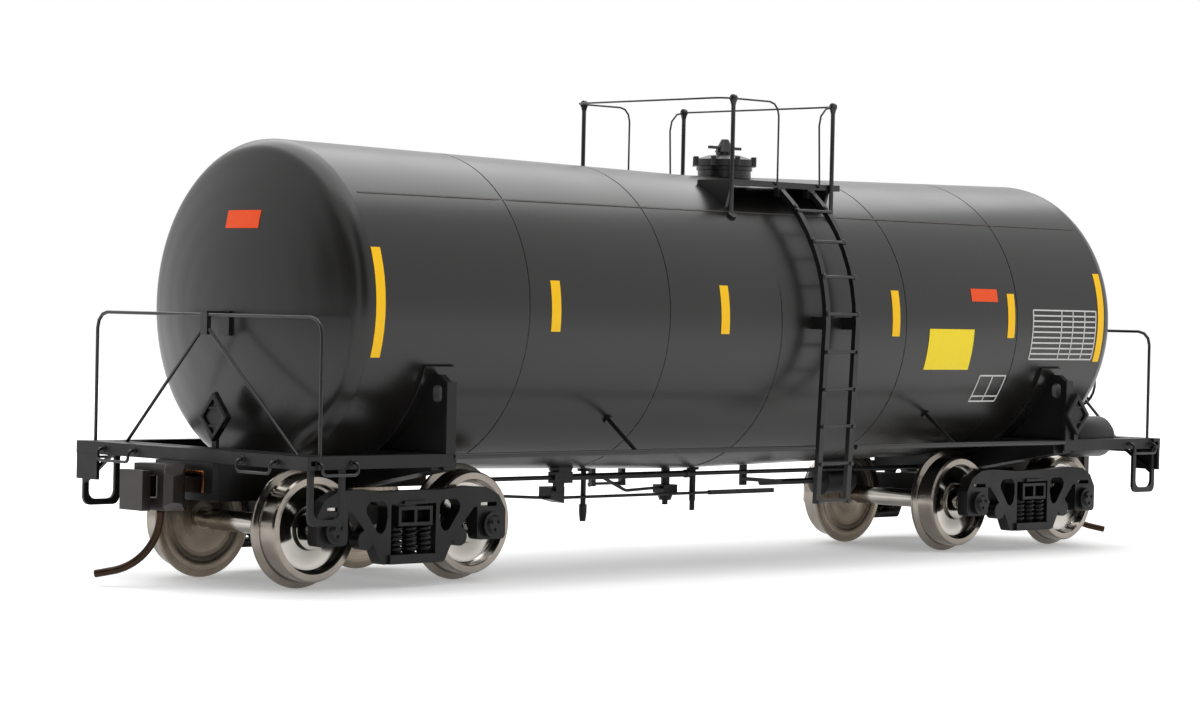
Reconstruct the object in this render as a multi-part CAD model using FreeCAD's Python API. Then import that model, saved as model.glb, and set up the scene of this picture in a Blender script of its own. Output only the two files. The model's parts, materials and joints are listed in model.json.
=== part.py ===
"""Scale model railway tank car, 1:87.1, with metal wheelsets.

Units are millimetres. +X runs along the car to the brake end (end B), +Y is the far side of
the photograph, +Z is up. The origin is on the floor under the middle of the car, and the
floor is at the bottom of the wheel flanges. Most end pieces are made at end B and turned half
a turn about Z for end A, as the real car is.
"""
import FreeCAD, Part
import functools
import math
import os

V = FreeCAD.Vector

# Wheelsets: turned metal wheels on a steel axle
TREAD_R = 5.25
FLANGE_R = 5.88
WHEEL_W = 2.79
FLANGE_T = 0.76
BACK_TO_BACK = 14.4
RIM_T = 0.85
WEB_T = 1.1
HUB_R = 2.0
HUB_PROUD = 0.3
TREAD_DROP = 0.12
FLANGE_TIP = 0.3
AXLE_R = 1.05
SEAT_R = 0.8
SEAT_L = 1.6
JOURNAL_R = 0.5
WHEEL_BACK = 0.5 * BACK_TO_BACK
WHEEL_FACE = WHEEL_BACK + WHEEL_W
AXLE_Z = FLANGE_R

# Trucks
TRUCK_CENTRES = 98.0
WHEELBASE = 20.4
HALF_BASE = 0.5 * WHEELBASE
TRUCK_X = 0.5 * TRUCK_CENTRES
FRAME_H = 7.35
FRAME_Z = 2.4
FRAME_T = 1.4
FRAME_GAP = 1.3
FRAME_Y = WHEEL_FACE + FRAME_GAP
RIB_T = 0.3
CORNER_R = 0.5
BEARING_R = 1.3
BEARING_IN = 0.5
BEARING_OUT = 0.55
CAP_R = 1.0
CAP_T = 0.3
JOURNAL_FIT = 0.06
JOURNAL_END = 0.15
GUIDE_R = 0.95
WINDOW_H = 4.9
WINDOW_HALF = 2.9
SEAT_T = 0.9
# Half outline of a side frame: shares of the half wheelbase and of the frame's height
OUTLINE_SHARE = (
    (0.34, 0.965), (0.74, 1.0), (0.95, 0.98), (1.11, 0.87), (1.2, 0.67),
    (1.2, 0.27), (0.825, 0.27), (0.825, 0.72), (0.785, 0.72), (0.67, 0.55),
    (0.5, 0.26), (0.4, 0.0),
)
# Teardrop window beside the springs, with the same shares
TEARDROP_SHARE = (
    (0.335, 0.76), (0.38, 0.835), (0.55, 0.835), (0.6, 0.76), (0.59, 0.68), (0.455, 0.43),
    (0.4, 0.4), (0.355, 0.47), (0.33, 0.62),
)
# Slot over the bearing adapter
SLOT_SHARE = ((0.87, 0.72), (1.08, 0.72), (1.08, 0.775), (0.87, 0.775))
SPRING_R = 0.72
SPRING_WIRE = 0.22
SPRING_PITCH = 1.85
SPRING_COILS = 4
BOLSTER_HALF = 2.2
BOLSTER_END_H = 1.9
BOLSTER_MID_H = 3.4
BOLSTER_MID_Y = 5.5
BOLSTER_SLOPE_Y = 9.6
BOLSTER_WALL = 0.35
BOLSTER_POCKET = 1.2
CENTRE_PLATE_R = 2.4
CENTRE_PLATE_T = 0.4
PIN_R = 0.75
PIN_FIT = 0.08
PIN_HEAD_R = 1.4
PIN_HEAD_T = 0.5
TURN_GAP = 0.12

# Tank: a jacket in two halves that slope down to the middle, with a dished head at each end
TANK_R = 16.25
TANK_LOW = 10.08
TANK_Z = TANK_LOW + TANK_R
TANK_L = 115.4
TANK_SLOPE = 1.03
DISH_R = 40.0
KNUCKLE_R = 2.2
SEAM_W = 0.18
SEAM_DEPTH = 0.05
HALF_TANK = 0.5 * TANK_L
# Seams between the courses of each half, shares of half the tank's length from the middle
SEAM_A_SHARE = (0.3, 0.648)
SEAM_B_SHARE = (0.36, 0.707)
DISH_BANDS = 5
KNUCKLE_BANDS = 4

# Saddle and body bolster over each truck
PAD_T = 0.35
PAD_HALF = 2.0
PAD_INBOARD = 0.6
PAD_X = TRUCK_X - PAD_INBOARD
PAD_ANGLE = 70.5
BRACKET_OUT = 1.6
BRACKET_Y = TANK_R + BRACKET_OUT
BRACKET_TOP = 20.9
BRACKET_SLOPE_H = 0.65
BRACKET_SLOPE_W = 0.9
STRIP_TOP = BRACKET_TOP - BRACKET_SLOPE_H
WEB_HALF = 0.4
FLANGE_HALF = 0.62
FLANGE_PLATE = 0.5
HOLE_W = 1.3
HOLE_H = 1.7
BODY_BOLSTER_HALF = 1.6
BODY_BOLSTER_Z = 11.7
BODY_BOLSTER_IN = 0.95
BODY_BOLSTER_Y = BRACKET_Y - BODY_BOLSTER_IN

# Frame at each end
SILL_X = 67.0
SILL_PROUD = 0.25
SILL_Y = BRACKET_Y + SILL_PROUD
SILL_TOP = 13.3
SILL_H = 1.25
SILL_WALL = 0.4
SILL_FLANGE = 1.3
SIDE_SILL_IN = 0.1
SIDE_SILL_Y = BRACKET_Y - SIDE_SILL_IN
SIDE_SILL_FLANGE = 1.5
WALK_DEPTH = 2.6
WALK_T = 0.35
WALK_SLOT = 0.35
WALK_BAR = 0.55
STUB_HALF = 4.3
STUB_WALL = 0.9
STUB_Z = 9.3
STUB_BACK = 9.0
DRAFT_Z = 8.35
DRAFT_L = 10.6
DRAFT_FRONT = 0.4
DRAFT_FLOOR = 0.75
POCKET_HALF = 3.1
POCKET_H = 2.2
STRIKER_HALF = 4.5

# Couplers
COUPLER_X = 60.2
COUPLER_Z = 9.9
SHANK_HALF = 1.15
SHANK_H = 1.5
SHANK_RING_R = 1.7
POST_PIN_R = 0.85
POST_FIT = 0.08
HEAD_BACK = 68.1
HEAD_FRONT = 72.3
HEAD_H = 4.45
HEAD_Z = 7.4
HEAD_HALF = 3.6
LUG_H = 1.1
GUARD_T = 0.9
GUARD_DROP = 1.4
KNUCKLE_T = 0.95
KNUCKLE_GAP = 0.12
HINGE_R = 0.45
HINGE_FIT = 0.06
HINGE_X = 70.0
HINGE_Y = 2.5
TRIP_R = 0.38
TRIP_X = 70.1
TRIP_AHEAD = 4.0
TRIP_SIDE = 4.9
TRIP_Z = 1.15
TRIP_CORNER_Z = 2.45
TRIP_BEND = 5.7
NOSE_H = 3.85
NOSE_W = 3.6
TONGUE_H = 0.75

# Round bars are made in flats, and bends and rounded corners in short chords
WIRE_SIDES = 8
GRAB_SIDES = 6
PIN_SIDES = 16
BEND_CHORDS = 3
# Shares of a run that a bend may take, at a free end and between two bends
END_RUN_SHARE = 0.95
MIDDLE_RUN_SHARE = 0.45

# Wire work: rails, grab irons and steps
WIRE_R = 0.18
GRAB_R = 0.16
RAIL_X = 65.1
RAIL_IN = 0.4
RAIL_Y = SILL_Y - RAIL_IN
RAIL_TOP = 26.2
RAIL_BEND = 1.6
BRACE_Y = 14.4
BRACE_TOP = 24.8
BRACE_IN = 0.55
BRACE_BACK = 0.8
CLIP_W = 1.0
CLIP_T = 0.5
STANDOFF_Z = 26.6
STANDOFF_X = 62.9
STANDOFF_W = 1.6
STANDOFF_H = 2.4
GRAB_Z = 11.55
GRAB_PROUD = 0.75
GRAB_BEND = 0.45
END_GRAB_IN = 8.5
END_GRAB_OUT = 13.5
SIDE_GRAB_IN = 61.2
STEP_IN = 62.1
STEP_OUT = 66.5
STEP_BOTTOM = 6.8
STEP_BAR = 0.6
STEP_BEND = 0.8
STEP_T = 0.35
STEP_INSET = 0.55
STEP_Y = SILL_Y - STEP_INSET
STEP_BRACE_Y = 13.4
STEP_BRACE_Z = 9.6
CORNER_PLATE_W = 3.4
CORNER_PLATE_H = 3.8
CORNER_PLATE_T = 0.35

# Placard holders
PLACARD_HALF = 2.45
PLACARD_WIDE = 2.2
PLACARD_T = 0.35
PLACARD_RIB = 0.18
PLACARD_RIB_W = 0.22
# How far up the plate its ribs lie, a share of half its height
RIB_PLACE_SHARE = 0.36
PLACARD_Z = 16.3
END_PLACARD_X = 63.45
SIDE_PLACARD_X = 49.95
PLACARD_POST = 0.35

# Rails along the tank sides
SIDE_RAIL_Z = 13.05
SIDE_RAIL_IN = 0.25
SIDE_RAIL_Y = BRACKET_Y - SIDE_RAIL_IN
SIDE_RAIL_R = 0.3
STRUT_R = 0.22
STRUT_X_A = 23.2
STRUT_X_B = 28.2
STRUT_LEAN = 0.95
STRUT_PAD = 0.55
STRUT_PAD_T = 0.25
STRUT_TANK_ANGLE = 49.5

# Ladders at both sides
LADDER_X = 7.5
LADDER_HALF = 2.45
LADDER_OFF = 1.9
LADDER_R = TANK_R + LADDER_OFF
LADDER_RISE = 0.2
LADDER_Z = TANK_Z + LADDER_RISE
LADDER_BOTTOM = 7.0
LADDER_SPLAY = 0.9
LADDER_FOOT_Y = LADDER_R - LADDER_SPLAY
STILE_W = 0.7
STILE_T = 0.55
RUNG_R = 0.18
RUNG_PITCH = 4.05
LADDER_TOP_ANGLE = 52.0
LADDER_CHORDS = 8
LADDER_REST_H = 1.35
LADDER_REST_T = 0.4

# Top walkway: a framed deck at each side of the manway, with its rails
DECK_X0 = -3.2
DECK_X1 = 14.7
DECK_BELOW_CROWN = 0.73
DECK_TOP = TANK_Z + TANK_R - DECK_BELOW_CROWN
DECK_T = 0.3
DECK_Y = 11.2
DECK_INNER_Y = 6.3
DECK_EDGE_H = 0.65
DECK_EDGE_T = 0.35
GUSSET_T = 0.4
GUSSET_IN = 2.0
LADDER_CLIP_H = 0.95
LADDER_CLIP_W = 1.1
POST_X_A = -3.25
POST_X_B = 13.0
POST_H = 8.65
POST_TOP = DECK_TOP + POST_H
POST_R = 0.25
POST_Y = DECK_Y + POST_R
EYE_R = 0.45
EYE_HOLE_R = 0.22
EYE_T = 0.36
POST_NECK = 0.8
POST_FOOT_R = 0.62
POST_FOOT_T = 0.3
TOP_WIRE_R = 0.11
HOOP_X_A = 4.05
HOOP_X_B = 10.65
HOOP_BEND_A = 1.5
HOOP_BEND_B = 2.3
HOOP_LEAN_B = 0.35
RAIL_BEYOND_A = 1.65

# Manway on the crown, between the decks
MANWAY_X = 7.8
NECK_R = 3.0
NECK_H = 0.8
NECK_TOP = TANK_Z + TANK_R + NECK_H
NECK_SINK = 1.2
LID_UNDER_R = 3.15
LID_UNDER_T = 0.45
LID_R = 3.5
LID_T = 0.75
LID_LUG_R = 0.32
LID_LUG_H = 1.05
LID_LUGS = 8
CAP_FOOT_R = 1.0
CAP_FOOT_H = 0.37
LID_CONE_R = 1.8
LID_CONE_H = 0.5
CAP_BRIM_R = 1.15
KNOB_R = 0.4
KNOB_H = 1.45
CROSSBAR_L = 5.1
CROSSBAR_H = 0.32
CROSSBAR_W = 0.4

# Underneath
OUTLET_X = -13.4
OUTLET_R = 0.3
OUTLET_BOTTOM = 4.6
NOZZLE_R = 0.44
NOZZLE_TIP_R = 0.32
NOZZLE_H = 1.85
COLLAR_R = 0.7
COLLAR_T = 0.3
INLET_X = 3.7
INLET_BOTTOM = 5.3
INLET_SLEEVE_R = 0.36
INLET_SLEEVE_H = 1.1
LINE_R = 0.24
LINE_THICK_R = 0.36
LINE_Y = -2.2
LINE_Z = 9.58
UNION_R = 0.46
UNION_L = 0.6
UNION_X = 0.1
ROD_R = 0.18
ROD_Z = 7.3
ROD_Y = -0.9
ROD_END = 36.0
ROD_RISE = 0.9
ROD_BAR_X0 = 5.5
ROD_BAR_H = 0.5
ROD_BAR_T = 0.45
CYL_X = 24.1
CYL_L = 6.0
CYL_R = 1.5
CYL_Y = -0.6
CYL_Z = 8.2
PUSH_R = 0.34
CYL_LID_T = 0.45
CYL_LID_R = 1.7
LEVER_X = 14.3
LEVER_HALF = 2.9
LEVER_T = 0.4
LEVER_W = 0.9
VALVE_X = 1.4
VALVE_Y = 2.0
VALVE_Z = 6.4
VALVE_L = 2.2
VALVE_W = 1.7
VALVE_H = 0.95
BOWL_R = 0.95
BOWL_H = 0.8
STEM_R = 0.5
PLUG_R = 0.33
PLUG_H = 0.5
BRANCH_R = 0.18
BRANCH_X = -13.0
BRANCH_BEND_X = -8.0
BRANCH_Z = 7.85
HANGER_X = -19.0
HANGER_TOP_L = 2.4
HANGER_TOP_W = 2.0
HANGER_LOW_L = 1.8
HANGER_LOW_W = 1.5
CLAMP_L = 2.6
CLAMP_W = 1.1
CLAMP_H = 0.6
BLOCK_L = 2.0
BLOCK_W = 1.9
BLOCK_H = 1.3
BLOCK_DROP = 0.45
BLOCK_TIE = 0.45
RESERVOIR_R = 2.43
RESERVOIR_IN = 2.65
RESERVOIR_Y = TANK_R - RESERVOIR_IN
RESERVOIR_RISE = 0.15
RESERVOIR_Z = SILL_TOP + RESERVOIR_RISE
RESERVOIR_X = 52.6
RESERVOIR_GAP = 1.4
RESERVOIR_DISH = 1.3

# Hand brake at end B
WHEEL_BRAKE_R = 2.9
WHEEL_BRAKE_RIM = 0.2
WHEEL_BRAKE_Y = 4.5
WHEEL_BRAKE_Z = 19.6
BRAKE_STAND_W = 1.6
BRAKE_STAND_T = 0.9
BRAKE_HUB_R = 0.5
BRAKE_SPOKES = 4
BRAKE_SIDES = 24
BRAKE_CASE_R = 1.5
BRAKE_CASE_T = 0.8

# One overrun serves every cut
OVER = 1.0


def box(x0, x1, y0, y1, z0, z1):
    return Part.makeBox(x1 - x0, y1 - y0, z1 - z0, V(x0, y0, z0))


def rod(start, end, radius):
    run = end - start
    return Part.makeCylinder(radius, run.Length, start, run)


def disc_y(x, y0, y1, z, radius):
    return rod(V(x, y0, z), V(x, y1, z), radius)


def disc_x(x0, x1, y, z, radius):
    return rod(V(x0, y, z), V(x1, y, z), radius)


def upright(x, y, z0, z1, radius):
    return rod(V(x, y, z0), V(x, y, z1), radius)


def soft_corners(points, bend, closed=False):
    """The points of an outline or a wire, each corner made short chords of a tangent arc."""
    count = len(points)
    path = []
    for index in range(count) if closed else range(1, count - 1):
        corner = points[index]
        back = points[index - 1] - corner
        ahead = points[(index + 1) % count] - corner
        back_share = MIDDLE_RUN_SHARE if closed or index > 1 else END_RUN_SHARE
        ahead_share = MIDDLE_RUN_SHARE if closed or index < count - 2 else END_RUN_SHARE
        room = min(back_share * back.Length, ahead_share * ahead.Length)
        back.normalize()
        ahead.normalize()
        turn = math.pi - back.getAngle(ahead)
        reach = min(room, bend * math.tan(0.5 * turn))
        radius = reach / math.tan(0.5 * turn)
        centre = corner + (back + ahead).normalize() * (radius / math.cos(0.5 * turn))
        entry = corner + back * reach - centre
        leave = corner + ahead * reach - centre
        for chord in range(BEND_CHORDS + 1):
            swung = turn * chord / BEND_CHORDS
            arm = entry * math.sin(turn - swung) + leave * math.sin(swung)
            path.append(centre + arm * (1 / math.sin(turn)))
    return path if closed else [points[0]] + path + [points[-1]]


def closed_by(faces):
    solid = Part.Solid(Part.Shell(faces))
    return solid if solid.Volume > 0 else solid.reversed()


def flat(points):
    return Part.Face(Part.makePolygon(points + points[:1]))


def swept(path, radius, sides):
    """A round bar in flats along the path, mitred at each bend."""
    run = (path[1] - path[0]).normalize()
    level = V(1, 0, 0) if abs(run.z) > abs(run.x) else V(0, 0, 1)
    wide = run.cross(level).normalize()
    high = wide.cross(run)
    ring = []
    for side in range(sides):
        angle = 2.0 * math.pi * (side + 0.5) / sides
        ring.append(path[0] + (wide * math.cos(angle) + high * math.sin(angle)) * radius)
    faces = [flat(ring)]
    for index in range(1, len(path)):
        run = (path[index] - path[index - 1]).normalize()
        mitre = run
        if index + 1 < len(path):
            mitre = run + (path[index + 1] - path[index]).normalize()
        reached = []
        for corner in ring:
            travel = (path[index] - corner).dot(mitre) / run.dot(mitre)
            reached.append(corner + run * travel)
        for side in range(sides):
            faces.append(flat([ring[side - 1], ring[side], reached[side], reached[side - 1]]))
        ring = reached
    faces.append(flat(ring))
    return closed_by(faces)


def wire(points, radius, bend, sides=WIRE_SIDES):
    return swept(soft_corners(points, bend), radius, sides)


def bar(start, end, radius, sides=WIRE_SIDES):
    return swept([start, end], radius, sides)


def pin(x, z0, z1, radius):
    """An upright peg on the middle line of the car."""
    return bar(V(x, 0, z0), V(x, 0, z1), radius, PIN_SIDES)


def lathe(profile, foot, along, sides=PIN_SIDES):
    """A small turned piece in flats; the profile gives (along, radius) from the foot."""
    level = V(1, 0, 0) if abs(along.z) > abs(along.x) else V(0, 0, 1)
    other = along.cross(level)
    rings = []
    for place, radius in profile:
        ring = []
        for side in range(sides):
            angle = 2.0 * math.pi * (side + 0.5) / sides
            spoke = level * math.cos(angle) + other * math.sin(angle)
            ring.append(foot + along * place + spoke * radius)
        rings.append(ring)
    faces = []
    for index in range(len(profile)):
        near, far = rings[index - 1], rings[index]
        near_radius, far_radius = profile[index - 1][1], profile[index][1]
        for side in range(sides):
            if near_radius and far_radius:
                faces.append(flat([near[side - 1], near[side], far[side], far[side - 1]]))
            elif near_radius:
                faces.append(flat([near[side - 1], near[side], far[side]]))
            elif far_radius:
                faces.append(flat([near[side], far[side], far[side - 1]]))
    return closed_by(faces)


def plate(points, normal, thick):
    """A flat plate: an outline of points, given thickness along the normal."""
    return flat(points).extrude(normal * thick)


def rounded_plate(points, normal, thick, bend):
    return plate(soft_corners(points, bend, True), normal, thick)


def turned_x(profile, x, y, z):
    """A solid turned about a line along X; the profile gives (along, radius)."""
    return flat([V(x + along, y, z + radius) for along, radius in profile]).revolve(
        V(x, y, z), V(1, 0, 0), 360)


def turned_y(profile, x, z):
    return flat([V(x, along, z + radius) for along, radius in profile]).revolve(
        V(x, 0, z), V(0, 1, 0), 360)


def turned_z(profile, x, y):
    return flat([V(x + radius, y, height) for radius, height in profile]).revolve(
        V(x, y, 0), V(0, 0, 1), 360)


def across(shape):
    """The same piece on the other side of the car."""
    return shape.mirror(V(0, 0, 0), V(0, 1, 0))


def at_end_a(shape):
    """The same piece at end A, half a turn about the upright axis."""
    turned = shape.copy()
    turned.rotate(V(0, 0, 0), V(0, 0, 1), 180)
    return turned


def moved(shape, x, y=0, z=0):
    copy = shape.copy()
    copy.translate(V(x, y, z))
    return copy


def joined(shapes):
    first = shapes[0]
    rest = shapes[1:]
    return first.fuse(rest).removeSplitter() if rest else first


def save(name, *shapes):
    solids = [solid for shape in shapes for solid in shape.Solids]
    part = solids[0] if len(solids) == 1 else Part.makeCompound(solids)
    part.exportStep("parts/" + name + ".step")


# Tank

def sloped(shape):
    """A piece made straight along X, tilted as the tank's end B half is."""
    tilted = shape.copy()
    tilted.rotate(V(0, 0, TANK_Z), V(0, 1, 0), -TANK_SLOPE)
    return tilted


def axis_z(x):
    return TANK_Z + abs(x) * math.tan(math.radians(TANK_SLOPE))


def tank_head():
    """Dished head at end B: a shallow dish that turns into a tight knuckle, in bands."""
    rim = TANK_R - KNUCKLE_R
    lean = math.asin(rim / (DISH_R - KNUCKLE_R))
    dish_centre = HALF_TANK - (DISH_R - KNUCKLE_R) * math.cos(lean)
    profile = [(HALF_TANK, 0), (HALF_TANK, TANK_R)]
    for band in range(1, KNUCKLE_BANDS + 1):
        angle = 0.5 * math.pi + (lean - 0.5 * math.pi) * band / KNUCKLE_BANDS
        profile.append((HALF_TANK + KNUCKLE_R * math.cos(angle), rim + KNUCKLE_R * math.sin(angle)))
    for band in range(1, DISH_BANDS + 1):
        angle = lean * (1 - band / DISH_BANDS)
        profile.append((dish_centre + DISH_R * math.cos(angle), DISH_R * math.sin(angle)))
    return sloped(turned_x(profile, 0, 0, TANK_Z))


def seam(middle):
    """Corners of the narrow groove where two courses of the jacket meet."""
    x0 = middle - 0.5 * SEAM_W
    x1 = middle + 0.5 * SEAM_W
    return [(x0, TANK_R), (x0, TANK_R - SEAM_DEPTH), (x1, TANK_R - SEAM_DEPTH), (x1, TANK_R)]


def jacket_half(seam_share):
    """Half the jacket in courses, cut upright where the two sloping halves meet."""
    profile = [(-OVER, 0), (-OVER, TANK_R - SEAM_DEPTH)] + seam(0)[2:]
    for share in seam_share:
        profile += seam(share * HALF_TANK)
    profile += [(HALF_TANK, TANK_R), (HALF_TANK, 0)]
    half = sloped(turned_x(profile, 0, 0, TANK_Z))
    beyond = box(-2.0 * OVER, 0, -TANK_R - OVER, TANK_R + OVER,
                 TANK_Z - TANK_R - OVER, TANK_Z + TANK_R + OVER)
    return half.cut(beyond)


@functools.cache
def tank_shell():
    return joined([jacket_half(SEAM_B_SHARE), at_end_a(jacket_half(SEAM_A_SHARE))])


def tank():
    """All that pieces seat against: the jacket and both heads."""
    head = tank_head()
    return [tank_shell(), head, at_end_a(head)]


# Saddles and body bolsters

def pad_bulk():
    x0 = PAD_X - PAD_HALF
    x1 = PAD_X + PAD_HALF
    return sloped(disc_x(x0, x1, 0, TANK_Z, TANK_R + PAD_T))


def saddle_pad():
    """Curved pad under the tank, from one side round to the other."""
    top = axis_z(PAD_X) - (TANK_R + PAD_T) * math.cos(math.radians(PAD_ANGLE))
    upper = box(PAD_X - PAD_HALF - OVER, PAD_X + PAD_HALF + OVER,
                -TANK_R - OVER, TANK_R + OVER, top, top + 2.0 * TANK_R)
    return pad_bulk().cut([tank_shell(), upper])


def bracket_side():
    """Web from the tank side out to an upright flange strip, with a rounded hole."""
    x0 = TRUCK_X - WEB_HALF
    inner = 0.5 * TANK_R
    outer = BRACKET_Y - FLANGE_PLATE
    web = plate([
        V(x0, inner, BODY_BOLSTER_Z), V(x0, outer, BODY_BOLSTER_Z), V(x0, outer, STRIP_TOP),
        V(x0, outer - BRACKET_SLOPE_W, BRACKET_TOP), V(x0, inner, BRACKET_TOP),
    ], V(1, 0, 0), 2.0 * WEB_HALF)
    strip = box(TRUCK_X - FLANGE_HALF, TRUCK_X + FLANGE_HALF, outer, BRACKET_Y,
                SILL_TOP, STRIP_TOP)
    hole_y = outer - FLANGE_PLATE - 0.5 * HOLE_W
    hole_z = STRIP_TOP - 0.7 * HOLE_H
    corners = [
        V(x0 - OVER, hole_y - 0.5 * HOLE_W, hole_z - 0.5 * HOLE_H),
        V(x0 - OVER, hole_y + 0.5 * HOLE_W, hole_z - 0.5 * HOLE_H),
        V(x0 - OVER, hole_y + 0.5 * HOLE_W, hole_z + 0.5 * HOLE_H),
        V(x0 - OVER, hole_y - 0.5 * HOLE_W, hole_z + 0.5 * HOLE_H),
    ]
    hole = rounded_plate(corners, V(1, 0, 0), 2.0 * (WEB_HALF + OVER), 0.4 * HOLE_W)
    return web.cut(hole).fuse(strip)


def body_bolster():
    """Cross beam over the truck, tapered to its ends, with its side brackets."""
    ends = [
        V(TRUCK_X - BODY_BOLSTER_HALF, -BODY_BOLSTER_Y, BODY_BOLSTER_Z),
        V(TRUCK_X - BODY_BOLSTER_HALF, -STUB_HALF, STUB_Z),
        V(TRUCK_X - BODY_BOLSTER_HALF, STUB_HALF, STUB_Z),
        V(TRUCK_X - BODY_BOLSTER_HALF, BODY_BOLSTER_Y, BODY_BOLSTER_Z),
        V(TRUCK_X - BODY_BOLSTER_HALF, BODY_BOLSTER_Y, SILL_TOP),
        V(TRUCK_X - BODY_BOLSTER_HALF, -BODY_BOLSTER_Y, SILL_TOP),
    ]
    beam = plate(ends, V(1, 0, 0), 2.0 * BODY_BOLSTER_HALF)
    side = bracket_side()
    whole = joined([beam, side, across(side)])
    sill = side_sill()
    return whole.cut([pad_bulk(), tank_shell(), stub_bulk(), sill, across(sill)])


# Stub sill with the coupler's draft box

def stub_bulk():
    front = SILL_X - SILL_WALL
    run = box(TRUCK_X - STUB_BACK, front, -STUB_HALF, STUB_HALF, STUB_Z, SILL_TOP - SILL_H)
    draft = box(front - DRAFT_L, front, -STUB_HALF, STUB_HALF, DRAFT_Z, SILL_TOP - SILL_H)
    return run.fuse(draft)


def stub_sill():
    """Hollow draft box with its striker, on a sill that carries the king pin."""
    front = SILL_X + DRAFT_FRONT
    striker = box(front - DRAFT_FRONT - SILL_WALL, front, -STRIKER_HALF, STRIKER_HALF,
                  DRAFT_Z + DRAFT_FLOOR, SILL_TOP - SILL_H)
    body = joined([stub_bulk(), striker]).cut(tank() + [pad_bulk()])
    floor = DRAFT_Z + DRAFT_FLOOR
    pocket = box(COUPLER_X - SHANK_RING_R - STUB_WALL, front + OVER,
                 -POCKET_HALF, POCKET_HALF, floor, floor + POCKET_H)
    body = body.cut(pocket)
    post = pin(COUPLER_X, DRAFT_Z, floor + POCKET_H + STUB_WALL, POST_PIN_R)
    centre = pin(TRUCK_X, STUB_Z - CENTRE_PLATE_T, STUB_Z + CENTRE_PLATE_T, CENTRE_PLATE_R)
    foot = pin_bottom()
    king = pin(TRUCK_X, foot, STUB_Z, PIN_R)
    head = pin(TRUCK_X, foot, foot + PIN_HEAD_T, PIN_HEAD_R)
    return joined([body, post, centre, king, head])


# Frame, walkway and sills of one end

def end_sill():
    """Channel across the end, its flanges turned inwards."""
    x1 = SILL_X
    x0 = SILL_X - SILL_FLANGE
    low = SILL_TOP - SILL_H
    solid = box(x0, x1, -SILL_Y, SILL_Y, low, SILL_TOP)
    inside = box(x0 - OVER, x1 - SILL_WALL, -SILL_Y - OVER, SILL_Y + OVER,
                 low + SILL_WALL, SILL_TOP - SILL_WALL)
    return solid.cut(inside)


def side_sill():
    """Angle from the end sill back under the bracket over the truck."""
    x0 = TRUCK_X - FLANGE_HALF
    x1 = SILL_X - SILL_FLANGE
    outer = SIDE_SILL_Y
    web = box(x0, x1, outer - SILL_WALL, outer, SILL_TOP - SILL_H, SILL_TOP)
    flange = box(x0, x1, outer - SIDE_SILL_FLANGE, outer, SILL_TOP - SILL_WALL, SILL_TOP)
    return joined([web, flange])


def end_walkway():
    """Slotted steps plate behind the end sill."""
    x1 = SILL_X - SILL_FLANGE
    x0 = x1 - WALK_DEPTH
    half = SIDE_SILL_Y - SIDE_SILL_FLANGE
    deck = box(x0, x1, -half, half, SILL_TOP - WALK_T, SILL_TOP)
    pitch = WALK_SLOT + WALK_BAR
    count = int(WALK_DEPTH / pitch)
    margin = 0.5 * (WALK_DEPTH - count * pitch + WALK_BAR)
    slots = []
    for row in range(count):
        slot_x = x0 + margin + row * pitch
        for side in (-1, 1):
            near = side * STUB_HALF
            far = side * (half - WALK_BAR)
            slots.append(box(slot_x, slot_x + WALK_SLOT, min(near, far), max(near, far),
                             SILL_TOP - WALK_T - OVER, SILL_TOP + OVER))
    return deck.cut(slots)


def end_rail():
    """Bent rail over the end, its two braces and the stand-off to the tank head."""
    foot = SILL_TOP
    side_y = RAIL_Y - WIRE_R
    pieces = [wire([
        V(RAIL_X, -side_y, foot), V(RAIL_X, -side_y, RAIL_TOP),
        V(RAIL_X, side_y, RAIL_TOP), V(RAIL_X, side_y, foot),
    ], WIRE_R, RAIL_BEND)]
    for side in (-1, 1):
        low = V(RAIL_X - BRACE_BACK, side * BRACE_Y, foot - OVER)
        pieces.append(bar(low, V(RAIL_X, side * BRACE_IN, BRACE_TOP), WIRE_R))
    pieces.append(box(RAIL_X - 0.5 * CLIP_T, RAIL_X + 0.5 * CLIP_T, -0.5 * CLIP_W, 0.5 * CLIP_W,
                      BRACE_TOP - 0.5 * CLIP_W, RAIL_TOP + WIRE_R))
    high = STANDOFF_Z - WIRE_R
    in_head = HALF_TANK + KNUCKLE_R
    pieces.append(bar(V(in_head, 0, high), V(RAIL_X, 0, high), WIRE_R))
    pieces.append(box(in_head, STANDOFF_X, -0.5 * STANDOFF_W, 0.5 * STANDOFF_W,
                      STANDOFF_Z - STANDOFF_H, STANDOFF_Z))
    floor = box(RAIL_X - RAIL_BEND, RAIL_X + RAIL_BEND, -SILL_Y, SILL_Y,
                SILL_TOP - 2.0 * OVER, SILL_TOP)
    return joined(pieces).cut([tank_head(), floor])


def stirrup(x0, x1, y, low, top, thick):
    """A plate that hangs down with rounded lower corners."""
    outline = [V(x0, y, top), V(x0, y, low), V(x1, y, low), V(x1, y, top)]
    return plate(soft_corners(outline, STEP_BEND), V(0, 1, 0), thick)


def sill_step(side):
    """Stirrup under one corner of the end."""
    y = side * STEP_Y - 0.5 * STEP_T
    top = SILL_TOP - SILL_H
    outer = stirrup(STEP_IN, STEP_OUT, y, STEP_BOTTOM, top, STEP_T)
    gap = stirrup(STEP_IN + STEP_BAR, STEP_OUT - STEP_BAR, y - OVER, STEP_BOTTOM + STEP_BAR,
                  top + OVER, STEP_T + 2.0 * OVER)
    return outer.cut(gap)


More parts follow.
